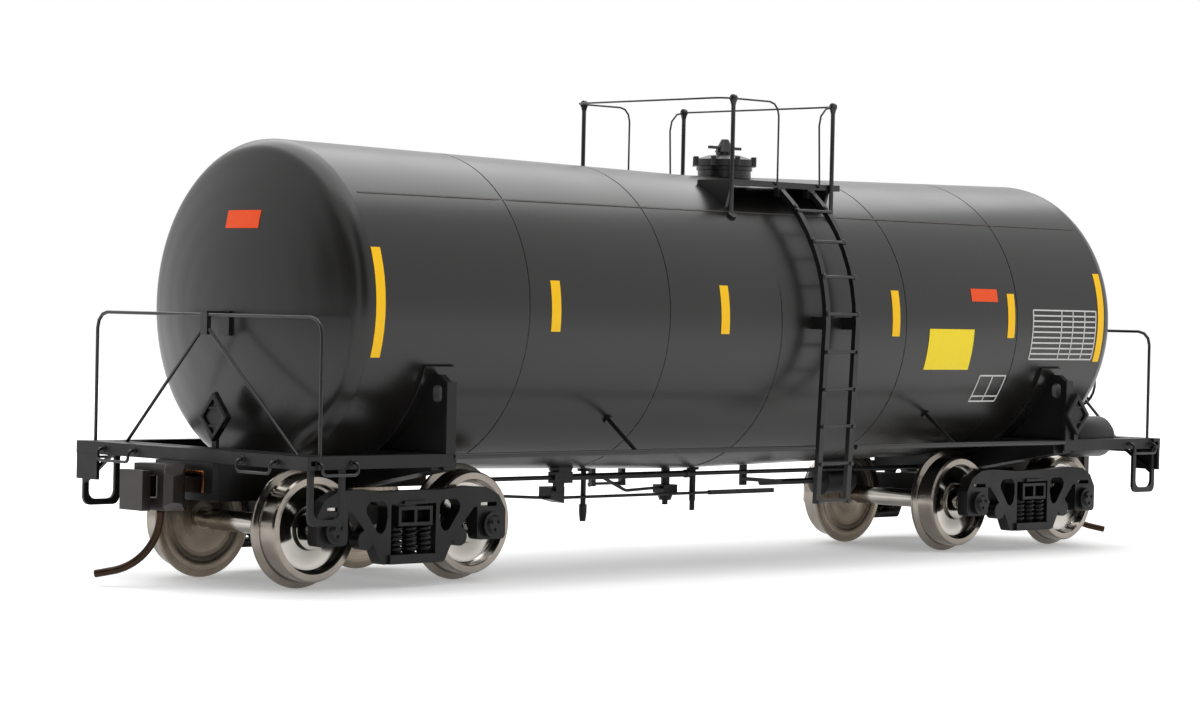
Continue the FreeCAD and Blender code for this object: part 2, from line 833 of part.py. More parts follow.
def step_brace():
    """Flat brace from the step's outer leg in and up to the end sill."""
    y = -STEP_Y + 0.5 * STEP_T
    x = STEP_OUT
    top = SILL_TOP - SILL_H
    corners = [
        V(x, y, STEP_BRACE_Z - STEP_BAR), V(x, y, STEP_BRACE_Z),
        V(x, -STEP_BRACE_Y, top), V(x, -STEP_BRACE_Y + STEP_BAR, top),
    ]
    return plate(corners, V(-1, 0, 0), STEP_T)


def end_grab(side):
    """Grab iron under the end sill."""
    low = SILL_TOP - 0.5 * SILL_H
    face = SILL_X
    y0 = side * END_GRAB_IN
    y1 = side * END_GRAB_OUT
    points = [
        V(face, y0, low), V(face + GRAB_PROUD, y0, low), V(face + GRAB_PROUD, y0, GRAB_Z),
        V(face + GRAB_PROUD, y1, GRAB_Z), V(face + GRAB_PROUD, y1, low), V(face, y1, low),
    ]
    return wire(points, GRAB_R, GRAB_BEND, GRAB_SIDES)


def side_grab(side):
    """Grab iron under the side sill."""
    low = SILL_TOP - 0.5 * SILL_H
    face = side * SIDE_SILL_Y
    out = side * (SIDE_SILL_Y + GRAB_PROUD)
    x0 = SIDE_GRAB_IN
    x1 = SILL_X - SILL_FLANGE - GRAB_R
    points = [
        V(x0, face, low), V(x0, out, low), V(x0, out, GRAB_Z),
        V(x1, out, GRAB_Z), V(x1, out, low), V(x1, face, low),
    ]
    return wire(points, GRAB_R, GRAB_BEND, GRAB_SIDES)


def corner_plate():
    """Plate behind the step at the far corner of the end."""
    low = SILL_TOP - CORNER_PLATE_H
    return box(SILL_X - SILL_WALL, SILL_X - SILL_WALL + CORNER_PLATE_T,
               -SILL_Y, -SILL_Y + CORNER_PLATE_W, low, SILL_TOP - SILL_H)


# Placard holders

def placard(normal, centre):
    """Diamond plate with two raised ribs across it."""
    wide = V(0, 0, 1).cross(normal) * PLACARD_WIDE
    high = V(0, 0, PLACARD_HALF)
    pieces = [plate([centre + wide, centre + high, centre - wide, centre - high],
                    normal, PLACARD_T)]
    for level in (-1, 1):
        middle = centre + high * (level * RIB_PLACE_SHARE)
        reach = wide * (1 - RIB_PLACE_SHARE)
        edge = V(0, 0, 0.5 * PLACARD_RIB_W)
        pieces.append(plate([middle - reach - edge, middle + reach - edge,
                             middle + reach + edge, middle - reach + edge],
                            normal, PLACARD_T + PLACARD_RIB))
    return joined(pieces)


def end_placard():
    holder = placard(V(1, 0, 0), V(END_PLACARD_X, 0, PLACARD_Z))
    back = END_PLACARD_X
    post = box(back, back + PLACARD_T, -PLACARD_POST, PLACARD_POST,
               SILL_TOP, PLACARD_Z)
    return joined([holder, post])


def side_placard():
    """Holder on the face of the near side bracket."""
    holder = placard(V(0, -1, 0), V(SIDE_PLACARD_X, -BRACKET_Y, PLACARD_Z))
    post = box(SIDE_PLACARD_X - PLACARD_POST, SIDE_PLACARD_X + PLACARD_POST,
               -BRACKET_Y - PLACARD_T, -BRACKET_Y, SILL_TOP, PLACARD_Z)
    return joined([holder, post])


# Rails along the sides of the tank

def side_rail():
    """Pipe along the far side in two lengths, with struts up to the tank."""
    stop = TRUCK_X - FLANGE_HALF
    gap = LADDER_HALF + STILE_W + SIDE_RAIL_R
    spans = (
        (-stop, LADDER_X - gap, -STRUT_X_A),
        (LADDER_X + gap, stop, STRUT_X_B),
    )
    angle = math.radians(STRUT_TANK_ANGLE)
    out = V(0, math.sin(angle), -math.cos(angle))
    result = []
    for x0, x1, strut_x in spans:
        pipe = bar(V(x0, SIDE_RAIL_Y, SIDE_RAIL_Z), V(x1, SIDE_RAIL_Y, SIDE_RAIL_Z), SIDE_RAIL_R)
        foot_x = strut_x + STRUT_LEAN
        middle = V(foot_x, 0, axis_z(foot_x))
        strut = bar(middle + out * (TANK_R - OVER), V(strut_x, SIDE_RAIL_Y, SIDE_RAIL_Z), STRUT_R)
        pad = bar(middle + out * (TANK_R - OVER), middle + out * (TANK_R + STRUT_PAD_T), STRUT_PAD)
        result.append(joined([pipe, strut, pad]).cut(tank_shell()))
    return result


# Ladders

def ladder():
    """Ladder bent round the far side of the tank, with rungs and rests."""
    top_turn = math.radians(LADDER_TOP_ANGLE)
    lean = LADDER_R - LADDER_FOOT_Y
    straight = LADDER_Z - LADDER_BOTTOM
    length = straight + top_turn * LADDER_R

    def on_ladder(run, off, x):
        """A point at a run up from the foot, and off outwards from the middle of the stile."""
        if run < straight:
            return V(x, LADDER_FOOT_Y + lean * run / straight + off, LADDER_BOTTOM + run)
        turn = (run - straight) / LADDER_R
        radius = LADDER_R + off
        return V(x, radius * math.cos(turn), LADDER_Z + radius * math.sin(turn))

    runs = [0] + [straight + (length - straight) * step / LADDER_CHORDS
                  for step in range(LADDER_CHORDS + 1)]
    pieces = []
    for side in (-1, 1):
        x = LADDER_X + side * LADDER_HALF
        outer = [on_ladder(run, 0.5 * STILE_T, x - 0.5 * STILE_W) for run in runs]
        inner = [on_ladder(run, -0.5 * STILE_T, x - 0.5 * STILE_W) for run in reversed(runs)]
        pieces.append(plate(outer + inner, V(1, 0, 0), STILE_W))
        rest = box(x - 0.5 * LADDER_REST_T, x + 0.5 * LADDER_REST_T, 0.5 * TANK_R, LADDER_R,
                   LADDER_Z - 0.5 * LADDER_REST_H, LADDER_Z + 0.5 * LADDER_REST_H)
        pieces.append(rest)
    overlap = LADDER_HALF + 0.5 * STILE_W
    for rung in range(int(length / RUNG_PITCH) + 1):
        run = rung * RUNG_PITCH + 0.5 * STILE_T
        pieces.append(bar(on_ladder(run, 0.5 * STILE_T, LADDER_X - overlap),
                          on_ladder(run, 0.5 * STILE_T, LADDER_X + overlap), RUNG_R, GRAB_SIDES))
    return joined(pieces).cut(tank_shell())


# Top walkway

def deck_side():
    """Framed deck on the far side of the crown, with a gusset at each post."""
    low = DECK_TOP - DECK_EDGE_H
    pieces = [
        box(DECK_X0, DECK_X1, DECK_INNER_Y, DECK_Y, DECK_TOP - DECK_T, DECK_TOP),
        box(DECK_X0, DECK_X1, DECK_Y - DECK_EDGE_T, DECK_Y, low, DECK_TOP),
    ]
    for x in (DECK_X0, DECK_X1 - DECK_EDGE_T):
        pieces.append(box(x, x + DECK_EDGE_T, DECK_INNER_Y, DECK_Y, low, DECK_TOP))
    for x in (DECK_X0, POST_X_B - GUSSET_T):
        pieces.append(plate([
            V(x, DECK_INNER_Y, DECK_TOP), V(x, DECK_Y, DECK_TOP), V(x, DECK_Y, low),
            V(x, DECK_Y - GUSSET_IN, TANK_Z + 0.5 * TANK_R),
            V(x, DECK_INNER_Y, TANK_Z + 0.5 * TANK_R),
        ], V(1, 0, 0), GUSSET_T))
    for side in (-1, 1):
        x = LADDER_X + side * LADDER_HALF
        pieces.append(box(x - 0.5 * LADDER_CLIP_W, x + 0.5 * LADDER_CLIP_W,
                          DECK_Y - 2.0 * DECK_EDGE_T, DECK_Y, low - LADDER_CLIP_H, low))
    return joined(pieces).cut([tank_shell(), ladder()])


def rail_post(x, side):
    """Post with an eye at its top for the rail and a foot on the tank."""
    y = side * POST_Y
    drop = math.sqrt(TANK_R ** 2 - POST_Y ** 2)
    surface = axis_z(x) + drop
    neck = POST_TOP - POST_NECK
    stem = lathe([(0, 0), (0, POST_R), (neck - surface + OVER, POST_R),
                  (POST_TOP - surface + OVER, EYE_R), (POST_TOP - surface + OVER, 0)],
                 V(x, y, surface - OVER), V(0, 0, 1), WIRE_SIDES)
    eye = bar(V(x - 0.5 * EYE_T, y, POST_TOP), V(x + 0.5 * EYE_T, y, POST_TOP), EYE_R, PIN_SIDES)
    out = V(0, y, drop).normalize()
    root = V(x, y, surface)
    foot = bar(root - out * POST_FOOT_T, root + out * POST_FOOT_T, POST_FOOT_R)
    hole = bar(V(x - OVER, y, POST_TOP), V(x + OVER, y, POST_TOP), EYE_HOLE_R)
    waste = box(x - OVER, x + OVER, y - OVER, y + OVER, POST_TOP, POST_TOP + OVER)
    return joined([stem.cut(waste), eye, foot]).cut([hole, tank_shell(), under_deck()])


def under_deck():
    return box(DECK_X0 - OVER, DECK_X1, -DECK_Y, DECK_Y, TANK_Z, DECK_TOP)


def top_rail_a():
    """Rail round the posts nearer the middle, with a hoop down to each deck."""
    foot = DECK_TOP - 0.5 * DECK_EDGE_H
    back = POST_X_A - RAIL_BEYOND_A
    rail = wire([
        V(HOOP_X_A, -DECK_Y, foot), V(HOOP_X_A, -POST_Y, foot), V(HOOP_X_A, -POST_Y, POST_TOP),
        V(back, -POST_Y, POST_TOP), V(back, POST_Y, POST_TOP),
        V(HOOP_X_A, POST_Y, POST_TOP), V(HOOP_X_A, POST_Y, foot), V(HOOP_X_A, DECK_Y, foot),
    ], TOP_WIRE_R, HOOP_BEND_A)
    return joined([rail, rail_post(POST_X_A, -1), rail_post(POST_X_A, 1)])


def top_rail_b():
    """Rail straight across between its posts, with a hoop down to each deck."""
    foot = DECK_TOP - 0.5 * DECK_EDGE_H
    hoop_foot_x = HOOP_X_B + HOOP_LEAN_B
    pieces = [bar(V(POST_X_B, -POST_Y, POST_TOP), V(POST_X_B, POST_Y, POST_TOP), TOP_WIRE_R)]
    for side in (-1, 1):
        y = side * POST_Y
        pieces.append(wire([
            V(POST_X_B, y, POST_TOP), V(HOOP_X_B, y, POST_TOP),
            V(hoop_foot_x, y, foot), V(hoop_foot_x, side * DECK_Y, foot),
        ], TOP_WIRE_R, HOOP_BEND_B))
        pieces.append(rail_post(POST_X_B, side))
    return joined(pieces)


# Manway

def manway_neck():
    crown = axis_z(MANWAY_X) + TANK_R
    return upright(MANWAY_X, 0, crown - NECK_SINK, NECK_TOP, NECK_R).cut(tank_shell())


def manway_lid():
    """Flanged lid with bolt lugs, a cap, a cross bar and its knob."""
    under = NECK_TOP + LID_UNDER_T
    top = under + LID_T
    cone = top + LID_CONE_H
    brim = cone + CAP_FOOT_H
    lid = turned_z([
        (0, NECK_TOP), (LID_UNDER_R, NECK_TOP), (LID_UNDER_R, under), (LID_R, under),
        (LID_R, top), (LID_CONE_R, cone), (CAP_FOOT_R, cone), (CAP_FOOT_R, brim),
        (CAP_BRIM_R, brim),
        (KNOB_R, brim + KNOB_H), (0, brim + KNOB_H),
    ], MANWAY_X, 0)
    bar_z = brim + 2.0 * CROSSBAR_H
    pieces = [lid, box(MANWAY_X - 0.5 * CROSSBAR_L, MANWAY_X + 0.5 * CROSSBAR_L,
                       -0.5 * CROSSBAR_W, 0.5 * CROSSBAR_W, bar_z - CROSSBAR_H, bar_z)]
    for index in range(LID_LUGS):
        angle = 2.0 * math.pi * (index + 0.5) / LID_LUGS
        foot = V(MANWAY_X + LID_R * math.cos(angle), LID_R * math.sin(angle),
                 NECK_TOP + LID_UNDER_T)
        pieces.append(bar(foot, foot + V(0, 0, LID_LUG_H), LID_LUG_R))
    return joined(pieces)


# Underneath

def bottom_z(x):
    return axis_z(x) - TANK_R


def bottom_outlet():
    """Outlet pipe with its nozzle, and the steam inlet with its sleeve."""
    up = V(0, 0, 1)
    long = bottom_z(OUTLET_X) - OUTLET_BOTTOM
    outlet = lathe([
        (0, 0), (0, NOZZLE_TIP_R), (0.5 * NOZZLE_H, NOZZLE_R), (NOZZLE_H, NOZZLE_R),
        (NOZZLE_H, OUTLET_R), (long - COLLAR_T, OUTLET_R), (long - COLLAR_T, COLLAR_R),
        (long + OVER, COLLAR_R), (long + OVER, 0),
    ], V(OUTLET_X, 0, OUTLET_BOTTOM), up)
    high = bottom_z(INLET_X) - INLET_BOTTOM
    inlet = lathe([
        (0, 0), (0, OUTLET_R), (INLET_SLEEVE_H, OUTLET_R), (INLET_SLEEVE_H, INLET_SLEEVE_R),
        (high - COLLAR_T, INLET_SLEEVE_R), (high - COLLAR_T, COLLAR_R),
        (high + OVER, COLLAR_R), (high + OVER, 0),
    ], V(INLET_X, 0, INLET_BOTTOM), up)
    return [outlet.cut(tank_shell()), inlet.cut(tank_shell())]


def train_line():
    """Brake pipe between the two stub sills, thicker from its hanger to its union."""
    stop = TRUCK_X - STUB_BACK
    thick = HANGER_X + 0.5 * CLAMP_L - OVER
    pieces = [
        bar(V(-stop, LINE_Y, LINE_Z), V(stop, LINE_Y, LINE_Z), LINE_R, PIN_SIDES),
        bar(V(thick, LINE_Y, LINE_Z), V(UNION_X, LINE_Y, LINE_Z), LINE_THICK_R, PIN_SIDES),
        bar(V(UNION_X, LINE_Y, LINE_Z), V(UNION_X + UNION_L, LINE_Y, LINE_Z), UNION_R, PIN_SIDES),
    ]
    return joined(pieces)


def brake_rod():
    """Rod from the hanger's block to the lever, and up from the block to truck A."""
    rod_end = LEVER_X + LEVER_W
    pieces = [
        swept([V(-ROD_END, ROD_Y, ROD_Z + ROD_RISE), V(HANGER_X, ROD_Y, ROD_Z),
               V(rod_end, ROD_Y, ROD_Z)], ROD_R, WIRE_SIDES),
        box(ROD_BAR_X0, rod_end + LEVER_W, ROD_Y - 0.5 * ROD_BAR_T, ROD_Y + 0.5 * ROD_BAR_T,
            ROD_Z - 0.5 * ROD_BAR_H, ROD_Z + 0.5 * ROD_BAR_H),
    ]
    return joined(pieces)


def hanger():
    """Tapered bracket and clamp for the brake pipe, with the rod's block below them."""
    clamp_low = LINE_Z - CLAMP_H
    clamp_top = LINE_Z + CLAMP_H
    foot = bottom_z(HANGER_X) + OVER
    rims = []
    for half_l, half_w, z in ((0.5 * HANGER_LOW_L, 0.5 * HANGER_LOW_W, clamp_top),
                              (0.5 * HANGER_TOP_L, 0.5 * HANGER_TOP_W, foot)):
        rims.append(Part.makePolygon([
            V(HANGER_X - half_l, LINE_Y - half_w, z), V(HANGER_X + half_l, LINE_Y - half_w, z),
            V(HANGER_X + half_l, LINE_Y + half_w, z), V(HANGER_X - half_l, LINE_Y + half_w, z),
            V(HANGER_X - half_l, LINE_Y - half_w, z)]))
    bracket = Part.makeLoft(rims, True, True)
    clamp = box(HANGER_X - 0.5 * CLAMP_L, HANGER_X + 0.5 * CLAMP_L,
                LINE_Y - 0.5 * CLAMP_W, LINE_Y + 0.5 * CLAMP_W, clamp_low, clamp_top)
    block_top = clamp_low - BLOCK_TIE
    x0 = HANGER_X - 0.5 * BLOCK_L
    x1 = HANGER_X + 0.5 * BLOCK_L
    y0 = ROD_Y - 0.5 * BLOCK_W
    block = plate([V(x0, y0, block_top), V(x1, y0, block_top),
                   V(x1, y0, block_top - BLOCK_H - BLOCK_DROP), V(x0, y0, block_top - BLOCK_H)],
                  V(0, 1, 0), BLOCK_W)
    tie = box(HANGER_X - 0.3 * BLOCK_L, HANGER_X + 0.3 * BLOCK_L,
              LINE_Y, LINE_Y + 0.5 * CLAMP_W, block_top - BLOCK_TIE, clamp_low + OVER)
    whole = joined([bracket, clamp, block, tie])
    return whole.cut([tank_shell(), train_line(), brake_rod()])


def brake_valve():
    """Valve body with a bowl and plug below it, its stem and the branch pipe to it."""
    bowl_top = VALVE_Z + BOWL_H
    body_top = bowl_top + VALVE_H
    body = box(VALVE_X - 0.5 * VALVE_L, VALVE_X + 0.5 * VALVE_L,
               VALVE_Y - 0.5 * VALVE_W, VALVE_Y + 0.5 * VALVE_W, bowl_top, body_top)
    lower = lathe([
        (0, 0), (0, PLUG_R), (PLUG_H, PLUG_R), (PLUG_H, 0.7 * BOWL_R),
        (PLUG_H + BOWL_H, BOWL_R), (PLUG_H + BOWL_H, 0),
    ], V(VALVE_X, VALVE_Y, VALVE_Z - PLUG_H), V(0, 0, 1))
    stem = bar(V(VALVE_X, VALVE_Y, body_top), V(VALVE_X, VALVE_Y, bottom_z(0) + OVER),
               STEM_R, PIN_SIDES)
    branch = wire([
        V(BRANCH_X, LINE_Y, LINE_Z), V(BRANCH_BEND_X, 0.5 * LINE_Y, BRANCH_Z),
        V(VALVE_X, VALVE_Y, BRANCH_Z),
    ], BRANCH_R, VALVE_L)
    return joined([body, lower, stem, branch]).cut([tank_shell(), train_line()])


def brake_cylinder():
    """Cylinder with its cover, push rod, lever and brackets."""
    high = bottom_z(0) + 2.0 * OVER
    body = turned_x([
        (0, 0), (0, 0.6 * CYL_LID_R), (0.5 * CYL_LID_T, CYL_LID_R), (CYL_LID_T, CYL_LID_R),
        (CYL_LID_T, CYL_R), (CYL_L - 0.5 * CYL_R, CYL_R), (CYL_L, 0.5 * CYL_R), (CYL_L, 0),
    ], CYL_X, CYL_Y, CYL_Z)
    push = bar(V(LEVER_X, CYL_Y, CYL_Z), V(CYL_X + CYL_LID_T, CYL_Y, CYL_Z), PUSH_R, PIN_SIDES)
    x0 = LEVER_X - 0.5 * LEVER_W
    x1 = LEVER_X + 0.5 * LEVER_W
    lever = box(x0, x1, CYL_Y - LEVER_HALF, CYL_Y + LEVER_HALF,
                CYL_Z + 0.2 * LEVER_T, CYL_Z + 1.2 * LEVER_T)
    mount = box(CYL_X + CYL_LID_T, CYL_X + CYL_L - 0.5 * CYL_R, CYL_Y - 0.5 * CYL_R,
                CYL_Y + 0.5 * CYL_R, CYL_Z, high)
    guide_y = CYL_Y + LEVER_HALF
    guide = box(x0, x1, guide_y - LEVER_T, guide_y, CYL_Z - 0.5 * LEVER_W, high)
    return joined([body, push, lever, mount, guide]).cut([tank_shell(), train_line()])


def air_reservoir():
    """Long reservoir beside the tank on end B's near side, with a dished head at each end."""
    length = SILL_X - SILL_FLANGE - WALK_DEPTH - RESERVOIR_GAP - RESERVOIR_X
    profile = [
        (0, 0), (0, 0.45 * RESERVOIR_R), (0.3 * RESERVOIR_DISH, 0.78 * RESERVOIR_R),
        (RESERVOIR_DISH, RESERVOIR_R), (length - RESERVOIR_DISH, RESERVOIR_R),
        (length - 0.3 * RESERVOIR_DISH, 0.78 * RESERVOIR_R), (length, 0.45 * RESERVOIR_R),
        (length, 0),
    ]
    body = turned_x(profile, RESERVOIR_X, -RESERVOIR_Y, RESERVOIR_Z)
    return body.cut(tank() + [side_sill_bulk()])


def side_sill_bulk():
    inner = SIDE_SILL_Y - SIDE_SILL_FLANGE
    return box(TRUCK_X, SILL_X, -SIDE_SILL_Y, -inner, SILL_TOP - SILL_H, SILL_TOP)


def hand_brake_stand():
    """Post with the gear case, on the end sill."""
    y = -WHEEL_BRAKE_Y
    x = SILL_X
    post = box(x - BRAKE_STAND_T, x, y - 0.5 * BRAKE_STAND_W, y + 0.5 * BRAKE_STAND_W,
               SILL_TOP, WHEEL_BRAKE_Z)
    case = disc_x(x - BRAKE_STAND_T, x - BRAKE_STAND_T + BRAKE_CASE_T, y, WHEEL_BRAKE_Z,
                  BRAKE_CASE_R)
    return joined([post, case])


def hand_brake_wheel():
    """Spoked wheel on the gear case."""
    hub = V(SILL_X, -WHEEL_BRAKE_Y, WHEEL_BRAKE_Z)
    along = V(1, 0, 0)
    depth = 2.0 * BRAKE_HUB_R
    rim = lathe([
        (depth - WHEEL_BRAKE_RIM, WHEEL_BRAKE_R), (depth, WHEEL_BRAKE_R + WHEEL_BRAKE_RIM),
        (depth + WHEEL_BRAKE_RIM, WHEEL_BRAKE_R), (depth, WHEEL_BRAKE_R - WHEEL_BRAKE_RIM),
    ], hub, along, BRAKE_SIDES)
    centre = hub + along * depth
    pieces = [rim, bar(hub, centre + along * WHEEL_BRAKE_RIM, BRAKE_HUB_R)]
    for index in range(BRAKE_SPOKES):
        angle = 2.0 * math.pi * (index + 0.5) / BRAKE_SPOKES
        spoke = V(0, math.cos(angle), math.sin(angle))
        pieces.append(bar(centre, centre + spoke * WHEEL_BRAKE_R, 0.8 * WHEEL_BRAKE_RIM))
    return joined(pieces)


# Trucks

def frame_point(share):
    across_share, height_share = share
    return V(across_share * HALF_BASE, FRAME_Y, FRAME_Z + height_share * FRAME_H)


def side_frame():
    """Cast side frame on the far side, with springs, bearings and brake beam guides."""
    right = [frame_point(share) for share in OUTLINE_SHARE]
    left = [V(-point.x, point.y, point.z) for point in reversed(right)]
    body = rounded_plate(right + left, V(0, 1, 0), FRAME_T, CORNER_R)
    cuts = []
    drop = [frame_point(share) - V(0, OVER, 0) for share in TEARDROP_SHARE]
    slot = [frame_point(share) - V(0, OVER, 0) for share in SLOT_SHARE]
    through = FRAME_T + 2.0 * OVER
    teardrop = rounded_plate(drop, V(0, 1, 0), through, 0.8 * CORNER_R)
    slit = plate(slot, V(0, 1, 0), through)
    for cut in (teardrop, slit):
        cuts.append(cut)
        cuts.append(cut.mirror(V(0, 0, 0), V(1, 0, 0)))
    sill = spring_floor()
    cuts.append(box(-WINDOW_HALF, WINDOW_HALF, FRAME_Y - OVER, FRAME_Y + FRAME_T + OVER,
                    sill, sill + WINDOW_H))
    body = body.cut(cuts)
    pieces = [body]
    outer = FRAME_Y + FRAME_T
    for side in (-1, 1):
        x = side * HALF_BASE
        bearing = [
            (0, 0), (0, BEARING_R), (BEARING_IN + FRAME_T + BEARING_OUT, BEARING_R),
            (BEARING_IN + FRAME_T + BEARING_OUT, CAP_R),
            (BEARING_IN + FRAME_T + BEARING_OUT + CAP_T, 0.8 * CAP_R),
            (BEARING_IN + FRAME_T + BEARING_OUT + CAP_T, 0),
        ]
        pieces.append(lathe(bearing, V(x, FRAME_Y - BEARING_IN, AXLE_Z), V(0, 1, 0)))
        guide_x = side * 0.6 * HALF_BASE
        guide_z = FRAME_Z + 0.33 * FRAME_H
        pieces.append(bar(V(guide_x, FRAME_Y, guide_z), V(guide_x, outer, guide_z), GUIDE_R,
                          PIN_SIDES))
    seat = box(-WINDOW_HALF - RIB_T, WINDOW_HALF + RIB_T, FRAME_Y, outer + RIB_T,
               sill - SEAT_T, sill)
    chord = box(-0.5 * WINDOW_HALF, 0.5 * WINDOW_HALF, FRAME_Y, outer + RIB_T,
                sill + WINDOW_H, sill + WINDOW_H + RIB_T)
    pieces.append(seat)
    pieces.append(chord)
    whole = joined(pieces)
    for side in (-1, 1):
        x = side * HALF_BASE
        depth = journal_end() + JOURNAL_END
        whole = whole.cut(disc_y(x, FRAME_Y - BEARING_IN - OVER, depth, AXLE_Z,
                                 JOURNAL_R + JOURNAL_FIT))
    return joined([whole] + springs())


def spring_floor():
    return FRAME_Z + SEAT_T


def bolster_foot():
    return spring_floor() + WINDOW_H - BOLSTER_END_H - SPRING_WIRE


def springs():
    """A row of three coil springs between the seat and the bolster's end."""
    height = bolster_foot() - spring_floor()
    pitch = height / SPRING_COILS
    core = SPRING_R - SPRING_WIRE
    profile = [(0, 0)]
    for coil in range(SPRING_COILS):
        profile.append((coil * pitch, core))
        profile.append(((coil + 0.5) * pitch, SPRING_R))
    profile.append((height, core))
    profile.append((height, 0))
    foot = V(0, FRAME_Y + 0.5 * FRAME_T, spring_floor())
    places = (-SPRING_PITCH, 0, SPRING_PITCH)
    return [lathe(profile, foot + V(place, 0, 0), V(0, 0, 1), GRAB_SIDES * 2) for place in places]


def plate_top():
    return STUB_Z - CENTRE_PLATE_T - TURN_GAP


def pin_bottom():
    return plate_top() - CENTRE_PLATE_T - BOLSTER_MID_H - TURN_GAP - PIN_HEAD_T


def truck_bolster():
    """Cross beam of the truck: open box ends in the side frames, a centre plate on top."""
    foot = bolster_foot()
    end_y = FRAME_Y + FRAME_T + RIB_T
    deck = plate_top() - CENTRE_PLATE_T
    x0 = -BOLSTER_HALF
    belly = deck - BOLSTER_MID_H
    outline = []
    for side in (-1, 1):
        outline.append(V(x0, side * end_y, foot))
        outline.append(V(x0, side * end_y, foot + BOLSTER_END_H))
        outline.append(V(x0, side * BOLSTER_SLOPE_Y, foot + BOLSTER_END_H))
        outline.append(V(x0, side * BOLSTER_MID_Y, deck))
        outline.append(V(x0, side * BOLSTER_MID_Y, belly))
        outline.append(V(x0, side * BOLSTER_SLOPE_Y, foot))
    left = outline[:6]
    right = outline[6:]
    points = [left[0], left[1], left[2], left[3], right[3], right[2], right[1], right[0],
              right[5], right[4], left[4], left[5]]
    beam = plate(points, V(1, 0, 0), 2.0 * BOLSTER_HALF)
    wall = BOLSTER_WALL
    pockets = []
    for side in (-1, 1):
        inner = side * (end_y - BOLSTER_POCKET)
        outer = side * (end_y + OVER)
        for half in (-1, 1):
            a = half * 0.5 * wall
            b = half * (BOLSTER_HALF - wall)
            pockets.append(box(min(a, b), max(a, b), min(inner, outer), max(inner, outer),
                               foot + wall, foot + BOLSTER_END_H - wall))
    disc = pin(0, deck - OVER, plate_top(), CENTRE_PLATE_R)
    hole = upright(0, 0, belly - OVER, plate_top() + OVER, PIN_R + PIN_FIT)
    return joined([beam, disc]).cut(pockets + [hole])


def journal_end():
    return FRAME_Y + 0.5 * FRAME_T


def axle():
    """Turned axle: thick middle, a shoulder at each wheel and a journal at each end."""
    end = journal_end()
    shoulder = WHEEL_BACK - SEAT_L
    half = [(end, JOURNAL_R), (WHEEL_FACE, JOURNAL_R), (WHEEL_FACE, SEAT_R),
            (shoulder, SEAT_R), (shoulder, AXLE_R)]
    other = [(-along, radius) for along, radius in half]
    profile = [(-end, 0)] + other + half[::-1] + [(end, 0)]
    return lathe(profile, V(0, 0, AXLE_Z), V(0, 1, 0))


def wheel():
    """Far side wheel: coned tread, flange at the back, dished web and a hub."""
    back = WHEEL_BACK
    face = WHEEL_FACE
    web = 0.5 * (back + face) + 0.5 * WEB_T
    rim = TREAD_R - TREAD_DROP - RIM_T
    return turned_y([
        (back, SEAT_R), (back, FLANGE_R - FLANGE_TIP), (back + 0.45 * FLANGE_T, FLANGE_R),
        (back + FLANGE_T, TREAD_R + TREAD_DROP), (face, TREAD_R - TREAD_DROP), (face, rim),
        (web, rim - RIM_T), (web, HUB_R + HUB_PROUD), (face - HUB_PROUD, HUB_R),
        (face - HUB_PROUD, SEAT_R),
    ], 0, AXLE_Z)


# Couplers

def coupler_head():
    """Shank and head: a guard arm on one side, two lugs for the knuckle on the other."""
    z0 = HEAD_Z
    z1 = HEAD_Z + HEAD_H
    shank_z0 = COUPLER_Z - 0.5 * SHANK_H
    shank_z1 = COUPLER_Z + 0.5 * SHANK_H
    shank = box(COUPLER_X, HEAD_BACK, -SHANK_HALF, SHANK_HALF, shank_z0, shank_z1)
    ring = bar(V(COUPLER_X, 0, shank_z0), V(COUPLER_X, 0, shank_z1), SHANK_RING_R, PIN_SIDES)
    throat = HINGE_X - HINGE_R - KNUCKLE_T
    tip = HEAD_FRONT - GUARD_T
    head = plate([
        V(HEAD_BACK, -SHANK_HALF, z0), V(throat, -HEAD_HALF + GUARD_T, z0),
        V(HINGE_X, -HEAD_HALF, z0), V(HINGE_X + KNUCKLE_T, -HEAD_HALF + HINGE_R, z0),
        V(HINGE_X + HINGE_R, -SHANK_HALF, z0), V(HINGE_X + HINGE_R, SHANK_HALF, z0),
        V(tip + 0.5 * GUARD_T, HEAD_HALF - GUARD_T, z0),
        V(tip, HEAD_HALF, z0), V(HINGE_X, HEAD_HALF - HINGE_R, z0),
        V(HEAD_BACK, SHANK_HALF, z0),
    ], V(0, 0, 1), HEAD_H)
    gap = box(throat, HEAD_FRONT + OVER, -HEAD_HALF - OVER, -KNUCKLE_GAP,
              z0 + LUG_H, z1 - LUG_H)
    face = box(HEAD_FRONT - KNUCKLE_T - KNUCKLE_GAP, HEAD_FRONT + OVER, -HEAD_HALF - OVER,
               KNUCKLE_T, z0 - OVER, z1 + OVER)
    corners = []
    for level, drop in ((z0, GUARD_DROP), (z1, -GUARD_DROP)):
        corners.append(plate([
            V(HEAD_BACK, SHANK_HALF, level), V(HEAD_BACK, HEAD_HALF + OVER, level),
            V(HEAD_BACK, HEAD_HALF + OVER, level + drop),
        ], V(1, 0, 0), HEAD_FRONT - HEAD_BACK))
    hinge = bar(V(HINGE_X, -HINGE_Y, z0), V(HINGE_X, -HINGE_Y, z1), HINGE_R)
    body = joined([head.cut([gap, face] + corners), shank, ring, hinge])
    return body.cut(upright(COUPLER_X, 0, shank_z0 - OVER, shank_z1 + OVER, POST_PIN_R + POST_FIT))


